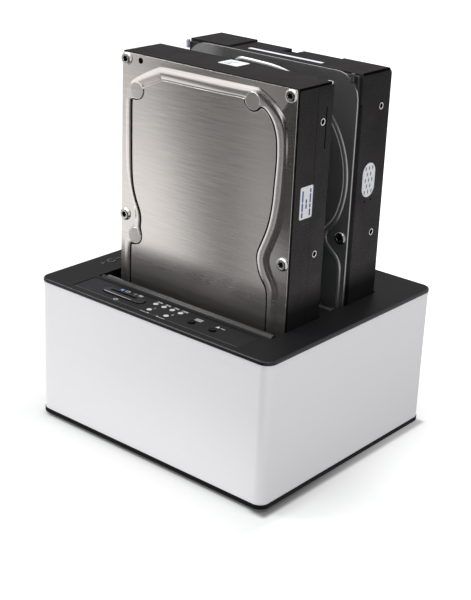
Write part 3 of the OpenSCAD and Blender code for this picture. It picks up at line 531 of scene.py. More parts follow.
# How the floor changes from place to place: start and end in metres, and the value at each
FLOOR = {
    # Less light comes back from the floor on the right
    "bounce_in": (0.06, 0.08, 0.0, 0.62),
    "bounce_out": (0.1, 0.2, 1.0, 0.0),
    # A painted shadow: the dark line on the floor under the right side, seen by the camera
    "painted_shadow_start": (0.062, 0.069, 0.0, 1.0),
    "painted_shadow_ends": (-0.001, 0.003, 1.0, 0.0),
    "painted_shadow_reach": (0.001, 0.0042, 0.97, 0.0),
    # The lift to white: small near the case, which leaves a painted shadow round it, and larger away from it,
    # to the back right and before the right corner, where it paints the shadow out
    "lift": (0.0, 0.09, 0.06, 0.33),
    "back_lift": (0.02, 0.14, 0.0, 0.28),
    "open_side": (0.075, 0.082, 0.0, 0.13),
    "open_front": (-0.06, -0.01, 1.0, 0.0),
    # The slopes of light that the covers mirror, and where they end
    "mirror_left": (-0.064, -0.024, 0.0, 0.74),
    "mirror_rise": (-0.11, -0.06, 0.05, 0.4),
    "mirror_fall": (-0.062, -0.03, 0.0, -0.24),
    "mirror_away": (0.38, 0.75, 1.0, 0.66),
    "card_front": (-0.17, -0.09, 1, 0),
    "card_side": (0.1, 0.24, 1, 0),
    "card_edge": (0, 1, 1, 0),
}


def floor_material(colour):
    """A pale matte floor, lifted to white for the camera, with a painted shadow under the right side and near
    the case, that metal shows as soft slopes of light.
    """
    mat = bpy.data.materials.new("studio_floor")
    mat.use_nodes = True
    tree = mat.node_tree
    tree.nodes.clear()
    path = add_node(tree, "LightPath").outputs
    coord = add_node(tree, "TexCoord").outputs["Object"]
    axes = add_node(tree, "SeparateXYZ", {0: coord}).outputs
    x, y = axes["X"], axes["Y"]

    def slope(value, name):
        return ranged(tree, value, FLOOR[name], "SMOOTHSTEP")

    def along(line):
        return add_node(tree, "VectorMath", {0: coord, 1: line}, operation="DOT_PRODUCT").outputs["Value"]

    def past(axis, edge):
        size = add_node(tree, "Math", {0: axis}, operation="ABSOLUTE").outputs[0]
        return combine(tree, "SUBTRACT", size, edge * MM)

    def times(a, b):
        return combine(tree, "MULTIPLY", a, b)

    def plus(a, b):
        return combine(tree, "ADD", a, b)

    def most(a, b):
        return combine(tree, "MAXIMUM", a, b)

    past_x, past_y = past(x, SLEEVE_HIGH[0]), past(y, SLEEVE_HIGH[1])
    bounce = times(slope(x, "bounce_in"), slope(x, "bounce_out"))
    painted_shadow = times(times(slope(x, "painted_shadow_start"), slope(past_y, "painted_shadow_ends")), slope(past_x, "painted_shadow_reach"))
    dimmed = plus(times(bounce, path["Is Diffuse Ray"]), times(painted_shadow, path["Is Camera Ray"]))
    matte = add_node(tree, "BsdfDiffuse", {"Color": (*colour, 1)}).outputs[0]
    dull = add_node(tree, "BsdfDiffuse", {"Color": (*[c * DIMMED for c in colour], 1)}).outputs[0]
    cast = add_node(tree, "MixShader", {0: dimmed, 1: matte, 2: dull}).outputs[0]

    lifted = plus(slope(most(past_x, past_y), "lift"), slope(along(TO_BACK_RIGHT), "back_lift"))
    lifted = plus(lifted, times(slope(x, "open_side"), slope(y, "open_front")))
    white = add_node(tree, "Emission", {"Strength": times(lifted, path["Is Camera Ray"])}).outputs[0]
    seen = add_node(tree, "AddShader", {0: cast, 1: white}).outputs[0]

    right = along(MIRROR_RIGHT)
    right = plus(slope(right, "mirror_rise"), slope(right, "mirror_fall"))
    level = plus(slope(along(MIRROR_LEFT), "mirror_left"), right)
    level = times(level, slope(along(MIRROR_AWAY), "mirror_away"))
    card = times(slope(y, "card_front"), slope(x, "card_side"))
    shown = add_node(tree, "Emission", {"Strength": most(level, slope(card, "card_edge"))}).outputs[0]

    mirrored = most(path["Is Glossy Ray"], path["Is Transmission Ray"])
    mixed = add_node(tree, "MixShader", {0: mirrored, 1: seen, 2: shown}).outputs[0]
    add_node(tree, "OutputMaterial", {"Surface": mixed})
    return mat


def lay_floor(scene):
    rest()
    bpy.ops.mesh.primitive_plane_add(size=FLOOR_SIZE, location=(0, 0, 0))
    floor = named(bpy.context.object, "studio_floor")
    floor.data.materials.append(floor_material(scene.dock_colours.floor))


def hang_flags():
    for name, at, size in FLAGS:
        rest()
        bpy.ops.mesh.primitive_plane_add(size=1)
        flag = named(bpy.context.object, name)
        flag.scale = (size[0] * MM, size[1] * MM, 1)
        place(flag, at, (90, 0, 0))
        flag.data.materials.append(look("flag"))
        flag.visible_camera = flag.visible_diffuse = False
        flag.visible_shadow = flag.visible_transmission = False


def light_world(scene):
    """A pale sky that the camera and metal see as white."""
    scene.world = bpy.data.worlds.new("studio")
    scene.world.use_nodes = True
    tree = scene.world.node_tree
    plain = tree.nodes["Background"]
    plain.inputs["Color"].default_value = WORLD_TINT
    plain.inputs["Strength"].default_value = WORLD_LEVEL
    bright = add_node(tree, "Background", {"Color": (1, 1, 1, 1)})
    path = add_node(tree, "LightPath").outputs
    looked = combine(tree, "MAXIMUM", path["Is Camera Ray"], path["Is Glossy Ray"])
    looked = combine(tree, "MAXIMUM", looked, path["Is Transmission Ray"])
    mix = add_node(tree, "MixShader", {0: looked, 1: plain.outputs[0], 2: bright.outputs[0]})
    tree.links.new(mix.outputs[0], tree.nodes["World Output"].inputs["Surface"])


def light_dock():
    """A wide light from above and a softbox on the left."""
    rest()
    bpy.ops.object.light_add(type="SUN", location=(0, 0, 1.5))
    sun = bpy.context.object
    sun.name = "soft_overhead"
    sun.data.energy = SUN_LEVEL
    sun.data.angle = math.radians(SUN_SPREAD)
    sun.rotation_euler = (math.radians(SUN_TILT), 0, 0)
    rest()
    bpy.ops.object.light_add(type="AREA", location=Vector(KEY_AT) * MM)
    key = bpy.context.object
    key.name = "key_left"
    key.data.shape = "RECTANGLE"
    key.data.size, key.data.size_y = KEY_SIZE[0] * MM, KEY_SIZE[1] * MM
    key.data.energy = KEY_WATTS
    key.rotation_euler = (Vector(KEY_TARGET) - Vector(KEY_AT)).to_track_quat("-Z", "Y").to_euler()
    key.visible_camera = False


def set_camera(scene):
    rest()
    bpy.ops.object.camera_add()
    camera = bpy.context.object
    camera.name = "photo_camera"
    turn = Matrix((CAMERA_RIGHT, -CAMERA_DOWN, -CAMERA_AHEAD)).transposed().to_4x4()
    camera.matrix_world = Matrix.Translation(Vector(CAMERA_AT) * MM) @ turn
    camera.data.sensor_width = SENSOR
    camera.data.lens = FOCAL_PIXELS * SENSOR / PICTURE_HEIGHT
    camera.data.clip_start = 0.01
    scene.camera = camera


class DOCK_OT_stage(bpy.types.Operator):
    """Sets up the floor, the soft light and the camera"""
    bl_idname = "dock.stage"
    bl_label = "Stage"

    def execute(self, context):
        context.scene.view_settings.view_transform = "Standard"
        lay_floor(context.scene)
        hang_flags()
        light_world(context.scene)
        light_dock()
        set_camera(context.scene)
        return {"FINISHED"}


# Case


CORNER_STEPS = 14
# The rear plate overlaps the sleeve by this much round its opening
PLATE_LIP = 2


class DOCK_OT_sleeve(bpy.types.Operator):
    """Models the aluminium sleeve as a rounded tube with the rear opening"""
    bl_idname = "dock.sleeve"
    bl_label = "Sleeve"

    def execute(self, context):
        sizes = context.scene.dock_sizes
        wall, corner = sizes.sleeve_wall / MM, sizes.sleeve_corner / MM
        low, high = SLEEVE_LOW, SLEEVE_HIGH
        tube = block("sleeve_tube", low, high)
        core = block("sleeve_core", [low[0] + wall, low[1] + wall, low[2] - 3],
                     [high[0] - wall, high[1] - wall, high[2] + 3])
        for piece, r in ((tube, corner), (core, corner - wall)):
            round_edges(piece, lambda a, b: abs(a.z - b.z) > 1, r, CORNER_STEPS)
        plate_low, plate_high = span("rear_plate")
        window = block("rear_window", [plate_low[0] + PLATE_LIP, high[1] - 6, plate_low[2] + PLATE_LIP],
                       [plate_high[0] - PLATE_LIP, high[1] + 6, plate_high[2] - PLATE_LIP])
        carve(tube, core, window)
        soften(tube, 0.15, 2, 50)
        wear(tube, "dock", look("sleeve"), ["outer_sleeve"])
        return {"FINISHED"}


class DOCK_OT_deck(bpy.types.Operator):
    """Models the black deck and the panel film in its recess"""
    bl_idname = "dock.deck"
    bl_label = "Deck"

    def execute(self, context):
        edge = context.scene.dock_sizes.edge_break / MM
        deck = from_cad("deck", "deck_plate", edge * 0.7, 2)
        wear(deck, "dock", look("plastic"), ["deck"])
        film = from_cad("panel_overlay", "panel_film", 0.06, 1)
        wear(film, "dock", look("overlay"), ["panel_overlay"])
        return {"FINISHED"}


# Print on the panel and marks on the deck: how thick, how deep it starts, and where each stands
INK = 0.03
INK_SUNK = 0.005
PROGRESS = ("25%", "50%", "75%", "100%")
PROGRESS_AT, PROGRESS_STEP = (-7.6, -46.3), 5.15
POWER_ICON = (-25.2, -57.7)
BOX_BARS = (((-1.3, -0.8), (1.3, -0.5)), ((-1.3, 0.5), (1.3, 0.8)), ((-1.3, -0.8), (-1.0, 0.8)),
            ((1.0, -0.8), (1.3, 0.8)))
BOX_FILL = (((-0.7, -0.15), (0.7, 0.15)),)
KEY_ICON_Y = -49.0
BAY_MARK_X = -62.8
BAY_MARKS = (("1", -19.5), ("2", 24.4))


def numeral(text, at, height, z):
    """A printed numeral, as a thin raised mesh."""
    rest()
    bpy.ops.object.text_add()
    word = bpy.context.object
    word.data.body = text
    word.data.size = height
    word.data.align_x = "CENTER"
    word.data.align_y = "CENTER"
    word.data.offset = height * 0.02
    pick(word)
    bpy.ops.object.convert(target="MESH")
    return thicken(place(bpy.context.object, (*at, z)), INK, 1)


def ring_mark(at, r, width, z, gap):
    """A printed ring, open at the back by the given half angle in degrees."""
    rest()
    bpy.ops.mesh.primitive_grid_add(x_subdivisions=32, y_subdivisions=1, size=1)
    mark = bpy.context.object
    for v in mark.data.vertices:
        turn = math.radians(90 + gap + (360 - 2 * gap) * (v.co.x + 0.5))
        reach = r + width * v.co.y
        v.co = ((at[0] + reach * math.cos(turn)) * MM, (at[1] + reach * math.sin(turn)) * MM, z * MM)
    edit(mark)
    bpy.ops.mesh.remove_doubles(threshold=MERGE)
    bpy.ops.mesh.normals_make_consistent(inside=False)
    bpy.ops.object.mode_set(mode="OBJECT")
    return thicken(mark, INK, 1)


def bar_mark(low, high, z):
    return block("bar", [*low, z], [*high, z + INK])


def arrow_mark(at, r, z):
    return drum("arrow", at, r, (z, z + INK), 3)


class DOCK_OT_marks(bpy.types.Operator):
    """Prints the plain numerals and icons on the panel and the deck, with painted light and painted shadow on
    the deck's marks and a painted highlight along the panel film's front edge
    """
    bl_idname = "dock.marks"
    bl_label = "Printed marks"

    def execute(self, context):
        size = context.scene.dock_sizes.numeral
        self.print_panel(size, OVERLAY_TOP - INK_SUNK)
        # Each deck mark is laid twice: a lighter copy on top as painted light, and a black copy shifted 0.5
        # mm to the right beneath it as its painted shadow.
        for name, shift, rise, cover in (("bay_numerals", 0.0, 0.012, "raised"),
                                         ("bay_numeral_edges", 0.5, 0.0, "hollow")):
            x, z = BAY_MARK_X + shift, DECK_TOP - INK_SUNK + rise
            bays = []
            for text, y in BAY_MARKS:
                bays += [numeral(text, (x + 0.3, y + 0.6), size * 3, z),
                         ring_mark((x, y - 4.0), 1.8, 1.0, z, 20),
                         arrow_mark((x, y - 9.6), 1.7, z)]
            wear(join(name, *bays), "dock", look(cover))
        # A light line along the front edge of the panel film: a painted highlight.
        line = block("film_line", [OVERLAY_LOW[0] + 0.6, OVERLAY_LOW[1] + 0.2, OVERLAY_TOP - 0.01],
                     [OVERLAY_HIGH[0] - 0.6, OVERLAY_LOW[1] + 0.42, OVERLAY_TOP + 0.02])
        wear(soften(line, 0.01, 1), "dock", look("film_line"))
        return {"FINISHED"}

    def print_panel(self, size, z):
        x, y = PROGRESS_AT
        marks = [numeral(text, (x + PROGRESS_STEP * i, y), size, z) for i, text in enumerate(PROGRESS)]
        low, high = span("drive_lights")
        y = middle_of("drive_lights")[1]
        for text, x, side in (("1", low[0] + 1.3, 1), ("2", high[0] - 1.3, -1)):
            marks += [numeral(text, (x + 1.4, y + 2.6), size, z),
                      bar_mark((x - 1.9, y - 3.9), (x + 1.9, y - 3.5), z),
                      arrow_mark((x + 2.6 * side, y - 3.7), 0.9, z)]
        x, y = POWER_ICON
        marks += [ring_mark(POWER_ICON, 0.95, 0.32, z, 32), bar_mark((x - 0.16, y), (x + 0.16, y + 1.2), z)]
        for node, bars in (("mode_light_lit", BOX_BARS), ("mode_light_off", BOX_BARS + BOX_FILL)):
            x, y = middle_of(node)
            x += 3.5
            marks += [bar_mark((x + a[0], y + a[1]), (x + b[0], y + b[1]), z) for a, b in bars]
        y = KEY_ICON_Y
        marks += [bar_mark((16.9, y + row - 0.2), (20.9, y + row + 0.2), z) for row in (-0.9, 0.0, 0.9)]
        marks += [arrow_mark((30.2, y), 1.25, z), bar_mark((31.8, y - 0.2), (34.2, y + 0.2), z)]
        wear(join("panel_print", *marks), "dock", look("print"))


class DOCK_OT_keys(bpy.types.Operator):
    """Models the power button with its slot, a painted highlight along its front edge, and the two round keys
    """
    bl_idname = "dock.keys"
    bl_label = "Keys"

    def execute(self, context):
        low, high = span("power_button")
        x, y = middle_of("power_button")
        top = POWER_TOP
        long = from_cad("power_button", "power_pill", 0.3, 3)
        wear(long, "power_key", look("pill"), ["power_button"])
        # A black pill in the slot of the power button: painted shade.
        slot = pill("power_slot", (x - 1, y + 0.7), 17, 1.4, (top - 0.3, top + 0.01))
        wear_painted_shade(soften(slot, 0.01, 1), "power_key")
        # A light strip along the front edge of the power button: a painted highlight.
        highlight_strip = block("power_edge", [low[0] + 2.6, low[1] + 0.92, top - 0.16],
                     [x + 6.5, low[1] + 1.3, top + 0.02])
        wear(soften(highlight_strip, 0.03, 2), "power_key", look("painted_highlight"))
        for node, body, name in (("mode_button", "mode_key", "mode_cap"),
                                 ("start_button", "start_key", "start_cap")):
            top = span(node)[1][2]
            cap = from_cad(node, name)
            carve(cap, drum("dish", middle_of(node), 1.0, (top - 0.12, top + 1)))
            soften(cap, 0.12, 2)
            wear(cap, body, look("key"), [node])
        return {"FINISHED"}


class DOCK_OT_lights(bpy.types.Operator):
    """Models the lenses of the panel lights"""
    bl_idname = "dock.lights"
    bl_label = "Lights"

    def execute(self, context):
        for node, name, slot in (("progress_lights", "progress_lenses", "light_white"),
                                 ("drive_lights", "drive_lenses", "light_white"),
                                 ("mode_light_lit", "lit_lens", "light_blue"),
                                 ("mode_light_off", "unlit_lens", "light_off")):
            lens = from_cad(node, name, 0.22, 3)
            wear(lens, "dock", look(slot), [node])
        return {"FINISHED"}


class DOCK_OT_flaps(bpy.types.Operator):
    """Models the dust flaps with their rounded hinge bars"""
    bl_idname = "dock.flaps"
    bl_label = "Dust flaps"

    def execute(self, context):
        for k, body in ((1, "front_flap"), (2, "rear_flap")):
            leaf = from_cad(f"flap_{k}", f"flap_leaf_{k}")
            round_edges(leaf, lambda a, b: abs(a.x - b.x) < 0.01 and max(a.z, b.z) > DECK_TOP - 2, 0.25, 2)
            wear(smooth(leaf), body, look("flap"), [f"flap_{k}"])
        return {"FINISHED"}


class DOCK_OT_base(bpy.types.Operator):
    """Models the base, the feet and the connector plate at the back"""
    bl_idname = "dock.base"
    bl_label = "Base and rear"

    def execute(self, context):
        edge = context.scene.dock_sizes.edge_break / MM
        for node, name, slot, cover, width in (
                ("base_plate", "base_tray", "case_black", "plain_plastic", edge),
                ("feet", "foot_pads", "rubber", "rubber", 0.5),
                ("rear_plate", "rear_panel", "case_black", "plain_plastic", 0.2),
                ("usb_port", "data_port_shell", "steel", "steel", 0.12),
                ("power_jack", "power_jack_body", "part_black", "key", 0.2)):
            wear(from_cad(node, name, width, 2), "dock", look(cover), [node])
        return {"FINISHED"}


# Drives


# Cuts in the front drive that other pieces fit into: the slot in its side and the seat of its top label
SLOT = (-11.7, 153.2), (-10.9, 171.6)
TOP_LABEL = (-2, -18.3), (9.4, -8.7)
MARGIN = 0.1


def widened(low, high):
    """Two corners moved apart by the margin between a cut and what fits into it."""
    return [c - MARGIN for c in low], [c + MARGIN for c in high]


class DOCK_OT_castings(bpy.types.Operator):
    """Models the cast bodies of the drives, with the cuts in the front one"""
    bl_idname = "dock.castings"
    bl_label = "Drive bodies"

    def execute(self, context):
        edge = context.scene.dock_sizes.edge_break / MM
        for k in DRIVES:
            cast = from_cad(f"hdd_casting_{k}", f"drive_body_{k}")
            if k == 1:
                carve(cast, *self.cuts(DRIVE_RIGHT, FACE_Y[1], DRIVE_TOP))
            soften(cast, edge, 2)
            wear(cast, BODY[k], look("casting"), [f"hdd_casting_{k}"])
        return {"FINISHED"}

    def cuts(self, right, face, top):
        low, high = widened(*TOP_LABEL)
        return (block("label_seat", [*low, top - 0.08], [*high, top + 1]),
                block("seam", [right - 0.15, face + 14.6, 66], [right + 1, face + 14.9, 122]),
                block("slot", [right - 1, *SLOT[0]], [right + 1, *SLOT[1]]),
                block("corner", [right - 2.4, face + 23.6, top - 1.6], [right + 1, face + 27, top + 1]))


def spline(points, steps):
    """A closed smooth line through the points."""
    p = np.array(points, float)
    n = len(p)
    out = []
    for i in range(n):
        a, b, c, d = p[(i - 1) % n], p[i], p[(i + 1) % n], p[(i + 2) % n]
        for j in range(steps):
            t = j / steps
            out.append(0.5 * (2 * b + (c - a) * t + (2 * a - 5 * b + 4 * c - d) * t ** 2
                              + (3 * b - a - 3 * c + d) * t ** 3))
    return np.array(out)


def inwards(loop, by):
    """The loop moved towards its inside by a distance."""
    along = np.roll(loop, -1, 0) - np.roll(loop, 1, 0)
    along /= np.linalg.norm(along, axis=1)[:, None]
    side = np.stack([-along[:, 1], along[:, 0]], 1)
    area = np.sum(loop[:, 0] * np.roll(loop[:, 1], -1) - np.roll(loop[:, 0], -1) * loop[:, 1])
    return loop + side * (by if area > 0 else -by)


def rim(loop, low, high, r):
    """Points of a rounded rectangle that face the points of a loop inside it."""
    middle = (np.array(low) + np.array(high)) / 2
    half = (np.array(high) - np.array(low)) / 2
    away = loop - middle
    scale = np.min(half / np.maximum(np.abs(away), 1e-9), axis=1)
    edge = away * scale[:, None]
    for corner in ((1, 1), (1, -1), (-1, 1), (-1, -1)):
        spot = half * corner
        near = np.argmin(np.linalg.norm(edge - spot, axis=1))
        edge[near] = spot
    inner = half - r
    if r > 0.05:
        past = np.clip(np.abs(edge) - inner, 0, None)
        both = (past[:, 0] > 0) & (past[:, 1] > 0)
        reach = np.linalg.norm(past, axis=1)
        core = np.minimum(np.abs(edge), inner)
        moved = core + past / np.maximum(reach, 1e-9)[:, None] * r
        edge = np.where(both[:, None], np.sign(edge) * moved, edge)
    return edge + middle


def relax(loop, times):
    for _ in range(times):
        loop = (np.roll(loop, 1, 0) + 2 * loop + np.roll(loop, -1, 0)) / 4
    return loop


def ribbon(name, k, rows, closed=True):
    """A grid whose rows are lines across the drive and down from its top, each with its rise."""
    count = len(rows[0][0]) + (0 if closed else -1)
    rest()
    bpy.ops.mesh.primitive_grid_add(x_subdivisions=count, y_subdivisions=len(rows) - 1, size=1)
    band = bpy.context.object
    co = np.zeros((len(rows), count + 1, 3))
    for j, (line, rise) in enumerate(rows):
        ring = np.vstack([line, line[:1]]) if closed else line
        co[j, :, 0] = DRIVE_X + ring[:, 0]
        co[j, :, 1] = FACE_Y[k] - rise
        co[j, :, 2] = DRIVE_TOP - ring[:, 1]
    band.data.vertices.foreach_set("co", (co * MM).ravel())
    edit(band)
    bpy.ops.mesh.remove_doubles(threshold=MERGE)
    bpy.ops.object.mode_set(mode="OBJECT")
    return named(band, name)


def closed_up(sheet):
    """Fills the open ends of a ringed sheet and turns its faces outwards."""
    edit(sheet, action="DESELECT")
    bpy.ops.mesh.select_non_manifold(extend=False, use_wire=False, use_boundary=True,
                                     use_multi_face=False, use_non_contiguous=False, use_verts=False)
    bpy.ops.mesh.edge_face_add()
    bpy.ops.mesh.select_all(action="SELECT")
    bpy.ops.mesh.normals_make_consistent(inside=False)
    bpy.ops.object.mode_set(mode="OBJECT")
    return sheet


# Groove beside the bead, its narrowing on the left, and its depth below the panel
GROOVE = 0.8
GROOVE_LESS = 0.1
GROOVE_DEEP = 0.2
# Share of the bead's width where it is highest, and the most that its outer slope takes
CREST = 0.66
WIDEST = 5.6
# The right flange of the front cover lies this much lower
EDGE_DROP = 0.25
FLANGE = 0.3
EDGE_BREAK = 0.015
# Where the left side of a cover ends, over what width it fades out, and how far its groove's wall is filled
LEFT_END, LEFT_FADE, LEFT_FILL = 24, 14, 0.2
# A face with more corners than this fills the panel or the back of a cover
BROAD = 60


def left_share(line):
    """One along the left side of a cover, falling to nothing towards its middle."""
    return np.clip((LEFT_END - line[:, :1]) / LEFT_FADE, 0, 1)


def stamped_sheet(name, k, line_out, line_in, low, high, corner, shape, panel, thick, groove):
    """A stamped cover: rings of a grid follow the bead, and the panel and the back are filled.

    Points are across the drive and down from its top; shape lists (share across the bead, rise).
    """
    rows = []
    calm = left_share(line_in)
    if groove:
        wide = GROOVE - GROOVE_LESS * calm
        rows += [(relax(inwards(line_in, wide + 0.1), 3), panel),
                 (relax(inwards(line_in, wide), 2), panel - 0.04),
                 (relax(inwards(line_in, wide - 0.03), 2), panel - GROOVE_DEEP),
                 (inwards(line_in, 0.06), panel - GROOVE_DEEP)]
    across = line_in - line_out
    reach = np.minimum(1, WIDEST / np.linalg.norm(across, axis=1))[:, None]
    calm = np.append(calm, calm[:1])
    top = max(rise for share, rise in shape)
    for share, rise in reversed(shape):
        if groove and share > CREST:
            rise = rise + (top - rise) * LEFT_FILL * calm
        past = max(share - CREST, 0) / (1 - CREST)
        rows.append((line_out + across * (min(share, CREST) * reach + past * (1 - CREST * reach)), rise))
    inset = np.array(low) + EDGE_BREAK, np.array(high) - EDGE_BREAK
    edge = rim(line_out, *inset, corner - EDGE_BREAK)
    full = rim(line_out, low, high, corner)
    sunk = np.append(np.where(full[:, 0] > high[0] - FLANGE, EDGE_DROP, 0), 0.0) if groove else 0.0
    rows += [(edge, -sunk), (full, -EDGE_BREAK - sunk), (full, -thick - (EDGE_DROP if groove else 0))]
    sheet = smooth(closed_up(ribbon(name, k, rows)), 28)
    broad = {key for face in sheet.data.polygons if len(face.vertices) > BROAD for key in face.edge_keys}
    for edge in sheet.data.edges:
        if edge.key in broad:
            edge.use_edge_sharp = True
    return evened(sheet)


# Bead of the front cover: outer and inner line, matched point by point
FRONT_OUTER = [
    (2.5, 112), (2.5, 100), (2.6, 93), (2.8, 90.2), (3.3, 88), (4.3, 86), (5.8, 84), (7.4, 82), (8.8, 80),
    (9.3, 77.4), (8.6, 73), (6.6, 67.3), (5, 62), (3.7, 56.5), (2.9, 50.5), (2.5, 40), (2.5, 30), (2.6, 24),
    (2.7, 21.5), (2.9, 19.2), (3.3, 17.2), (4.4, 14.6), (6.6, 12.4), (13, 8.6), (21.5, 4.4), (25.5, 3.3),
    (40, 3), (60, 2.85), (76, 2.7), (79, 2.65), (81, 2.7), (82.5, 3), (84, 3.7), (86, 4.7), (88.6, 6.1),
    (92.4, 9), (95.6, 12.6), (97.5, 17.5), (98.4, 25), (98.8, 36), (98.8, 48), (97.2, 60.5), (93.6, 71),
    (91.9, 75.2), (91.6, 79), (93.6, 83.6), (96.6, 88.2), (97.4, 93.5), (97.4, 108), (96.8, 126), (94.4, 136),
    (85, 141), (50, 142), (15, 141), (5, 135), (3, 126),
]
FRONT_INNER = [
    (6.6, 112), (6.6, 100), (6.7, 93.5), (7.2, 91.4), (9.4, 91), (12.2, 89.9), (13.7, 87.2), (13.4, 84.2),
    (12.7, 81.6), (13.1, 77.8), (12.2, 73.7), (9.9, 69.1), (8.2, 64), (7.3, 59), (6.8, 52), (6.6, 40),
    (6.5, 30), (6.5, 22.5), (7, 20.8), (9.6, 20.7), (12.6, 19.4), (13.9, 16.4), (13.4, 14.2), (19, 11.6),
    (24.5, 9.2), (26.5, 8.7), (40, 8.6), (60, 8.35), (73.3, 8), (74, 9.7), (75.4, 12), (78.2, 13.1),
    (80.9, 12.3), (82.8, 10.6), (85.9, 11.4), (90, 15.9), (92.3, 21.8), (92.9, 27.5), (93, 34), (92.5, 43),
    (92, 52), (90.3, 62), (87.2, 70.4), (85.2, 75.2), (84.9, 79.6), (86.8, 85.8), (90.2, 90.2), (91.5, 94.8),
    (91.6, 108), (91.2, 125), (89, 132), (82, 135.6), (50, 136.4), (19, 135.6), (9.6, 131), (7, 124),
]
# Middle of each boss of the front cover and the tilt of its face to the right, in degrees
FRONT_BOSSES = ((10.0, 16.7, 0.5), (78.4, 9.0, 0.0), (9.9, 86.9, 4.0))


# The rear cover's bead: a round over the platters, its flatter top, and how it runs down on the right
ROUND_AT, ROUND_HALF = (50.8, 50), (47.1, 45.4)
ROUND_LEFT, ROUND_RIGHT = range(-112, -47, 8), range(24, 113, 8)
ROUND_TOP = [
    (23, 14.4), (27, 11.2), (30, 8.4), (31.3, 6.7), (32.3, 5.6), (33.4, 4.95), (35, 4.6), (38, 4.6),
    (44, 4.75), (51, 4.95), (56, 5.4), (61, 6.25),
]
ROUND_FOOT = [
    (91.6, 71.2), (89.2, 73.6), (88.2, 77.4), (89.2, 80.8), (92.1, 83.8), (95.6, 86.6), (97.2, 90),
    (97.5, 95), (97.5, 109), (97.2, 128), (93, 138), (84, 141.5),
]


def rear_crest():
    """Crest of the rear cover's bead, which steps in at the screws and runs down on both sides."""
    def arc(angles):
        return [(ROUND_AT[0] + ROUND_HALF[0] * math.sin(math.radians(a)),
                 ROUND_AT[1] - ROUND_HALF[1] * math.cos(math.radians(a))) for a in angles]

    left_foot = [(DRIVE_W - u, v) for u, v in reversed(ROUND_FOOT)]
    return arc(ROUND_LEFT) + ROUND_TOP + arc(ROUND_RIGHT) + ROUND_FOOT + left_foot


# Beads in section: share of the way from the outer to the inner line, and rise
FRONT_BEAD = ((0, 0), (0.05, 0.03), (0.11, 0.1), (0.24, 0.3), (0.36, 0.48), (0.48, 0.61), (0.58, 0.675),
              (0.66, 0.7), (0.74, 0.695), (0.82, 0.665), (0.9, 0.61), (0.96, 0.55), (1.0, 0.48))
REAR_BEAD = ((0, 0), (0.05, 0.06), (0.14, 0.29), (0.24, 0.46), (0.35, 0.58), (0.48, 0.67), (0.6, 0.7),
             (0.65, 0.68), (0.74, 0.54), (0.86, 0.32), (0.95, 0.22), (1.0, 0.2))
FRONT_STEPS, REAR_STEPS = 5, 4
FRONT_PANEL, REAR_PANEL = 0.34, 0.2
GAP_FLOOR = 0.24
BOSS_R = 3.95
VENT_AT, VENT_R = (11.7, 2.9), 1.4
REAR_CORNER = 12
# Reach of the rear bead out from its crest and in from it
REAR_OUT, REAR_IN = 1.8, 1.2
BARE_EDGE = 0.06


def cover_box(k):
    """Low and high corner of a cover, across its drive and down from its top."""
    low, high = COVER[k]
    return (low[0] - DRIVE_X, DRIVE_TOP - high[2]), (high[0] - DRIVE_X, DRIVE_TOP - low[2])


def on_face(k, u, v):
    """A place on a cover's face, given across the drive and down from its top."""
    return DRIVE_X + u, FACE_Y[k], DRIVE_TOP - v


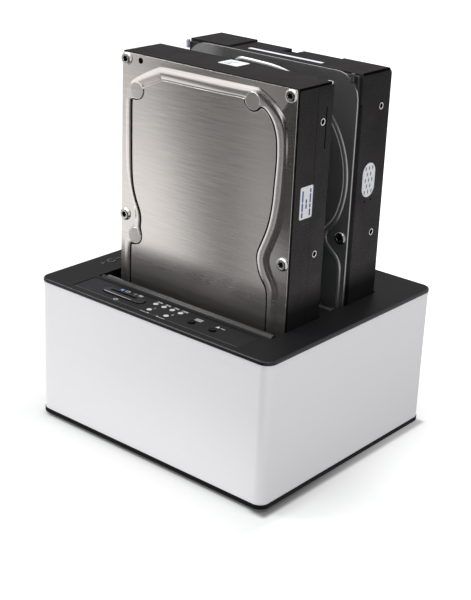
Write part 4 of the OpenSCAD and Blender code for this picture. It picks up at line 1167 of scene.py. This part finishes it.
class DOCK_OT_covers(bpy.types.Operator):
    """Models the stamped covers of both drives, with the bosses, the vent hole, the bare edge and a painted
    shadow in the groove beside the front panel
    """
    bl_idname = "dock.covers"
    bl_label = "Drive covers"

    def execute(self, context):
        rise = context.scene.dock_sizes.bead_rise / MM
        self.front(rise)
        self.rear(rise)
        return {"FINISHED"}

    def front(self, rise):
        low, high = cover_box(1)
        high = (DRIVE_W - 0.05, high[1])
        shape = [(share, up / BEAD * rise) for share, up in FRONT_BEAD]
        line_out = spline(FRONT_OUTER, FRONT_STEPS)
        line_in = relax(spline(FRONT_INNER, FRONT_STEPS), 2)
        sheet = stamped_sheet("front_cover_sheet", 1, line_out, line_in, low, high, 1.2, shape, FRONT_PANEL,
                              0.1, True)
        # A painted shadow in the groove beside the panel, all round but not along the top, where light falls
        # in
        first, last = 22 * FRONT_STEPS - 2, 28 * FRONT_STEPS + 3
        wide = GROOVE - 0.04 - GROOVE_LESS * left_share(line_in)
        sides = inwards(line_in, 0.05), relax(inwards(line_in, wide), 2)
        rows = [(np.vstack([line[last:], line[:first]]), GAP_FLOOR) for line in sides]
        wear_painted_shade(thicken(ribbon("cover_gap", 1, rows, closed=False), 0.04), BODY[1])
        discs = [sheet]
        for u, v, tilt in FRONT_BOSSES:
            disc = drum("boss", (0, 0), BOSS_R, (-rise - 0.1, 0), 48)
            round_edges(disc, lambda a, b: a.z < -0.3 and b.z < -0.3, 0.2, 4)
            discs.append(evened(smooth(place(disc, on_face(1, u, v), (-90, 0, tilt)))))
        wear(join("front_cover", *discs), BODY[1], look("cover_bright"), ["hdd_cover_1"])
        # A black disc in the vent hole: painted shade.
        hole = place(drum("vent_hole", (0, 0), VENT_R, (-0.03, 0.3), 32), on_face(1, *VENT_AT), (-90, 0, 0))
        wear_painted_shade(soften(hole, 0.02, 1), BODY[1])

    def rear(self, rise):
        low, high = cover_box(2)
        shape = [(share, up / BEAD * rise) for share, up in REAR_BEAD]
        crest = spline(rear_crest(), REAR_STEPS)
        line_out, line_in = relax(inwards(crest, -REAR_OUT), 2), relax(inwards(crest, REAR_IN), 2)
        sheet = stamped_sheet("rear_cover", 2, line_out, line_in, low, high, REAR_CORNER, shape, REAR_PANEL,
                              0.78, False)
        wear(sheet, BODY[2], look("cover_dark"), ["hdd_cover_2"])
        inset = rim(line_out, np.array(low) + BARE_EDGE, np.array(high) - BARE_EDGE, REAR_CORNER - BARE_EDGE)
        full = rim(line_out, low, high, REAR_CORNER)
        bare = ribbon("rear_cover_edge", 2, [(inset, 0.012), (full, -BARE_EDGE), (full, -0.2)])
        wear(smooth(thicken(bare, 0.02)), BODY[2], look("edge_line"))


# Cover screws: drive, distance from its left and right side, places down from its top, finish
SCREWS = ((1, (3, 3.1), (3.2, 77.8, 144), "screw"), (2, (4, 4), (76.5, 142), "dark_screw"))


def lobed(name, r, mean, z):
    """A drum whose side waves in six lobes."""
    star = drum(name, (0, 0), r, z, 24)
    for v in star.data.vertices:
        reach = mean + 0.14 * math.cos(6 * math.atan2(v.co.y, v.co.x))
        v.co.x, v.co.y = v.co.x * reach, v.co.y * reach
    return star


class DOCK_OT_screws(bpy.types.Operator):
    """Models one six-lobed cover screw and copies it to its places"""
    bl_idname = "dock.screws"
    bl_label = "Cover screws"

    def execute(self, context):
        r = context.scene.dock_sizes.screw_head / MM
        head = drum("screw_head", (0, 0), r, (0, 1.18), 40)
        round_edges(head, lambda a, b: a.z > 1 and b.z > 1, 1.05, 8)
        star = lobed("star", 1.62, 0.86, (0.35, 2))
        # A black plug in each screw's star recess: painted shade.
        plug = soften(lobed("plug", 1.57, 0.85, (0.3, 0.5)), 0.04, 1)
        carve(head, star)
        soften(head, 0.08, 2, 50)
        for part in (head, plug):
            place(part, (0, 0, 0), (90, 0, 0))
        for k, ins, downs, cover in SCREWS:
            spots = [on_face(k, u, v) for u in (ins[0], DRIVE_W - ins[1]) for v in downs]
            screws = join(f"cover_screws_{k}", *[twin(head, spot) for spot in spots])
            wear(screws, BODY[k], look(cover), [f"hdd_cover_screws_{k}"])
            wear_painted_shade(join(f"screw_sockets_{k}", *[twin(plug, spot) for spot in spots]), BODY[k])
        drop(plug, head)
        return {"FINISHED"}


# Side threads: distance from the back of a casting, heights above its foot, and radii
THREAD_IN = 6.35
THREAD_UP = (28.5, 70.1, 130.1)
INSERT_R, BORE_R = 1.8, 1.15
# How far labels, bars and seams reach into and out of the side
SIDE_SUNK, SIDE_PROUD = 0.01, 0.012


class DOCK_OT_inserts(bpy.types.Operator):
    """Models the thread inserts in the sides of the drives"""
    bl_idname = "dock.inserts"
    bl_label = "Thread inserts"

    def execute(self, context):
        insert = drum("insert", (0, 0), INSERT_R, (-1.2, 0.02), 32)
        carve(insert, drum("bore", (0, 0), BORE_R, (-0.6, 1), 24))
        place(soften(insert, 0.12, 2), (0, 0, 0), (0, 90, 0))
        # A black plug in each bore: painted shade.
        plug = drum("plug", (0, 0), BORE_R + 0.02, (-0.55, -0.2), 24)
        soften(place(plug, (0, 0, 0), (0, 90, 0)), 0.03, 1)
        for k in DRIVES:
            rings, plugs = [], []
            y = CASTING[k][1][1] - THREAD_IN
            for up in THREAD_UP:
                z = DRIVE_FOOT + up
                for part, pile in ((insert, rings), (plug, plugs)):
                    pile.append(twin(part, (DRIVE_RIGHT - 0.05, y, z)))
                    pile.append(place(twin(part), (DRIVE_X + 0.05, y, z), (0, 0, 180)))
            wear(smooth(join(f"thread_inserts_{k}", *rings)), BODY[k], look("screw"))
            wear_painted_shade(join(f"thread_bores_{k}", *plugs), BODY[k])
        drop(insert, plug)
        return {"FINISHED"}


# Labels: the side label's distance behind the face and its foot, with the bars of each of its columns
SIDE_LABEL_IN, SIDE_LABEL_Z = 6, 123.8
SIDE_BARS = ((1.3, ((0.9, 3.2), (3.7, 7.4), (7.9, 12.9))), (4.0, ((4.6, 6.6), (7.0, 8.8))),
             (6.7, ((1.0, 4.1), (4.6, 6.4), (6.9, 11.0), (11.5, 13.2))))
TOP_BARS, TOP_BARS_Y = ((0.2, 4.2), (0.2, 3.2), (1.0, 5.4)), -16.6
SEAL_AT = (24.6, 131.7)
SEAL_ROWS = (3, 2, 3, 2, 3)


class DOCK_OT_labels(bpy.types.Operator):
    """Models the blank labels on the drives with plain bars and dots"""
    bl_idname = "dock.labels"
    bl_label = "Labels"

    def execute(self, context):
        right, y, z = DRIVE_RIGHT, FACE_Y[1] + SIDE_LABEL_IN, SIDE_LABEL_Z
        tag = block("side_label", [right - SIDE_SUNK, y, z], [right + 0.05, y + 8.9, z + 14.7])
        round_edges(tag, lambda a, b: abs(a.x - b.x) > 0.01, 0.8, 4)
        wear(soften(tag, 0.015, 1), BODY[1], look("paper"))
        bars = [block("bar", [right + 0.04, y + column, z + low], [right + 0.06, y + column + 1, z + high])
                for column, spans in SIDE_BARS for low, high in spans]
        bars = [soften(bar, 0.005, 1) for bar in bars]
        wear(join("label_bars", *bars), BODY[1], look("label_ink"))
        low, high = TOP_LABEL
        tag = block("top_label", [*low, DRIVE_TOP - 0.1], [*high, DRIVE_TOP - 0.01])
        round_edges(tag, lambda a, b: abs(a.z - b.z) > 0.005, 0.8, 4)
        wear(tag, BODY[1], look("paper"))
        bars = []
        for i, (start, end) in enumerate(TOP_BARS):
            y = TOP_BARS_Y + 2 * i
            bar = block("bar", [start, y, DRIVE_TOP - 0.03], [end, y + 0.8, DRIVE_TOP - 0.001])
            bars.append(soften(bar, 0.005, 1))
        wear(join("top_label_bars", *bars), BODY[1], look("seal_ink"))

        seal = pill("oval_seal", (0, 0), 16.2, 9.8, (0, 0.06), 48)
        dots = []
        for i, count in enumerate(SEAL_ROWS):
            for j in range(count):
                at = (5.6 - 2.8 * i, (j - (count - 1) / 2) * 2.6)
                dots.append(soften(pill("dot", at, 1.9, 0.8, (0.05, 0.07), 12), 0.004, 1))
        marks = join("seal_marks", *dots)
        for part in (seal, marks):
            place(part, (right - SIDE_SUNK, *SEAL_AT), (90, -90, 90))
        wear(soften(seal, 0.015, 1), BODY[2], look("paper"))
        wear(marks, BODY[2], look("seal_ink"))
        return {"FINISHED"}


PITS = ((22.6, 121.6), (27.4, 121.9))
STRIP = (-16.6, 20.6), (27.6, 23)
# Corner posts of the rear drive: name, distance from its left side, finish
POSTS = (("left_post", 0.8, "post"), ("right_post", DRIVE_W - 3.6, "post_dark"))
SEAM_DEEP = 0.3


class DOCK_OT_trim(bpy.types.Operator):
    """Models the pits, the slot, the pale strip and the posts of the drives, black strips in the seams and
    along the top edges as painted shadow, and a bright steel corner as a painted glint
    """
    bl_idname = "dock.trim"
    bl_label = "Drive trim"

    def execute(self, context):
        right, top = DRIVE_RIGHT, DRIVE_TOP
        pits = []
        # A black disc in each pit: painted shade.
        for y, z in PITS:
            pit = place(drum("pit", (0, 0), 0.55, (-0.1, 0.01), 20), (right, y, z), (0, 90, 0))
            pits.append(soften(pit, 0.01, 1))
        wear_painted_shade(join("side_pits", *pits), BODY[2])
        # A black block in the slot: painted shade.
        low, high = widened(*SLOT)
        slot = block("side_slot", [right - 1.1, *low], [right - 0.12, *high])
        wear_painted_shade(soften(slot, 0.02, 1), BODY[1])
        strip = block("top_strip", [*STRIP[0], top - 1.02], [*STRIP[1], top - 0.94])
        round_edges(strip, lambda a, b: abs(a.z - b.z) > 0.005, 0.4, 4)
        wear(soften(strip, 0.01, 1), BODY[2], look("paper"))
        for name, u, cover in POSTS:
            x, y = DRIVE_X + u, FACE_Y[2]
            post = block(name, [x - 0.8, y - 0.65, top - 4.2], [x + 0.8, y + 1, top - 0.05])
            wear(soften(post, 0.45, 3), BODY[2], look(cover))
        # A black strip along the top of each drive's right side, under its edge: a painted shadow.
        for k in DRIVES:
            low, high = CASTING[k]
            seam = block("top_seam", [right - SEAM_DEEP, low[1] + 0.3, top - 1.15],
                         [right + SIDE_PROUD, high[1] - 1.6, top - 0.06])
            wear_painted_shade(soften(seam, 0.01, 1), BODY[k])
        # A black strip in the joint between the front cover and the right side: a real joint, with its dark
        # as a painted shadow.
        y = CASTING[1][0][1]
        seam = block("front_seam", [right - SEAM_DEEP, y + 0.02, DRIVE_FOOT + 1],
                     [right + SIDE_PROUD, y + 0.75, top - 0.06])
        wear_painted_shade(soften(seam, 0.01, 1), BODY[1])
        # A bright steel piece rounded into the back top corner of the front drive: a painted glint.
        chip = block("bare_corner", [right - 3, FACE_Y[1] + 22.6, top - 1.6],
                     [right - 0.02, FACE_Y[1] + 25.2, top - 0.02])
        wear(soften(chip, 0.6, 4), BODY[1], look("screw"))
        return {"FINISHED"}


# Chips on a drive's board: place across and up, width, height and rise
CHIPS = ((14, 30, 13, 13, 1.1), (40, 34, 10, 14, 1.0), (60, 24, 8, 8, 0.9),
         (72, 42, 6, 9, 1.0), (56, 44, 5, 4, 0.8), (76, 12, 9, 5, 0.9))


class DOCK_OT_boards(bpy.types.Operator):
    """Models the chips on the boards of the drives"""
    bl_idname = "dock.boards"
    bl_label = "Drive boards"

    def execute(self, context):
        for k in DRIVES:
            low, high = span(f"hdd_board_{k}")
            chips = []
            for across, up, wide, tall, rise in CHIPS:
                x, y, z = low[0] + across, high[1], low[2] + up
                chips.append(soften(block("chip", [x, y - 0.02, z], [x + wide, y + rise, z + tall]), 0.15, 2))
            wear(join(f"board_chips_{k}", *chips), BODY[k], look("chip"))
        return {"FINISHED"}


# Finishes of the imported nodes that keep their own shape
PLAIN_NODES = {
    "plain_plastic": ("bay_liner_1", "bay_liner_2"),
    "dark_steel": ("flap_pin_1", "flap_pin_2", "flap_spring_1", "flap_spring_2"),
    "steel": ("base_screws", "liner_screws", "control_screws", "board_screws", "hdd_magnet_1", "hdd_magnet_2",
              "hdd_head_arm_1", "hdd_head_arm_2", "hdd_platters_1", "hdd_platters_2"),
    "solder_green": ("control_board", "main_board", "hdd_board_1", "hdd_board_2"),
    "chip": ("power_plunger", "mode_plunger", "start_plunger", "switch_bodies", "sata_socket_1",
             "sata_socket_2", "bridge_chips", "hdd_plug_1", "hdd_plug_2", "hdd_seal_1", "hdd_seal_2"),
    "paper": ("indicator_leds",),
    "ribbon": ("ribbon_cable",),
    "capacitor": ("capacitors",),
    "tongue": ("usb_tongue",),
}


class DOCK_OT_inner(bpy.types.Operator):
    """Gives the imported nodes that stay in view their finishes"""
    bl_idname = "dock.inner"
    bl_label = "Inner parts"

    def execute(self, context):
        for name, nodes in PLAIN_NODES.items():
            for node in nodes:
                dress(node, look(name))
        return {"FINISHED"}


OPERATORS = (
    DOCK_OT_stage, DOCK_OT_sleeve, DOCK_OT_deck, DOCK_OT_marks, DOCK_OT_keys, DOCK_OT_lights, DOCK_OT_flaps,
    DOCK_OT_base, DOCK_OT_castings, DOCK_OT_covers, DOCK_OT_screws, DOCK_OT_inserts, DOCK_OT_labels,
    DOCK_OT_trim, DOCK_OT_boards, DOCK_OT_inner,
)


class DOCK_PT_panel(bpy.types.Panel):
    """Lists the sizes, the colours and the steps of the dock"""
    bl_idname = "DOCK_PT_panel"
    bl_label = "Drive dock"
    bl_space_type = "VIEW_3D"
    bl_region_type = "UI"
    bl_category = "Dock"

    def draw(self, context):
        layout = self.layout
        for group in (context.scene.dock_sizes, context.scene.dock_colours):
            box = layout.box()
            for key in group.__annotations__:
                box.prop(group, key)
        for step in OPERATORS:
            layout.operator(step.bl_idname)


CLASSES = (DockSizes, DockColours, *OPERATORS, DOCK_PT_panel)


def register():
    for cls in CLASSES:
        bpy.utils.register_class(cls)
    bpy.types.Scene.dock_sizes = bpy.props.PointerProperty(type=DockSizes)
    bpy.types.Scene.dock_colours = bpy.props.PointerProperty(type=DockColours)


def unregister():
    del bpy.types.Scene.dock_colours
    del bpy.types.Scene.dock_sizes
    for cls in reversed(CLASSES):
        bpy.utils.unregister_class(cls)


def main():
    register()
    bpy.ops.dock.stage()
    bpy.ops.dock.sleeve()
    bpy.ops.dock.deck()
    bpy.ops.dock.marks()
    bpy.ops.dock.keys()
    bpy.ops.dock.lights()
    bpy.ops.dock.flaps()
    bpy.ops.dock.base()
    bpy.ops.dock.castings()
    bpy.ops.dock.covers()
    bpy.ops.dock.screws()
    bpy.ops.dock.inserts()
    bpy.ops.dock.labels()
    bpy.ops.dock.trim()
    bpy.ops.dock.boards()
    bpy.ops.dock.inner()
    rest()


if __name__ == "__main__":
    main()
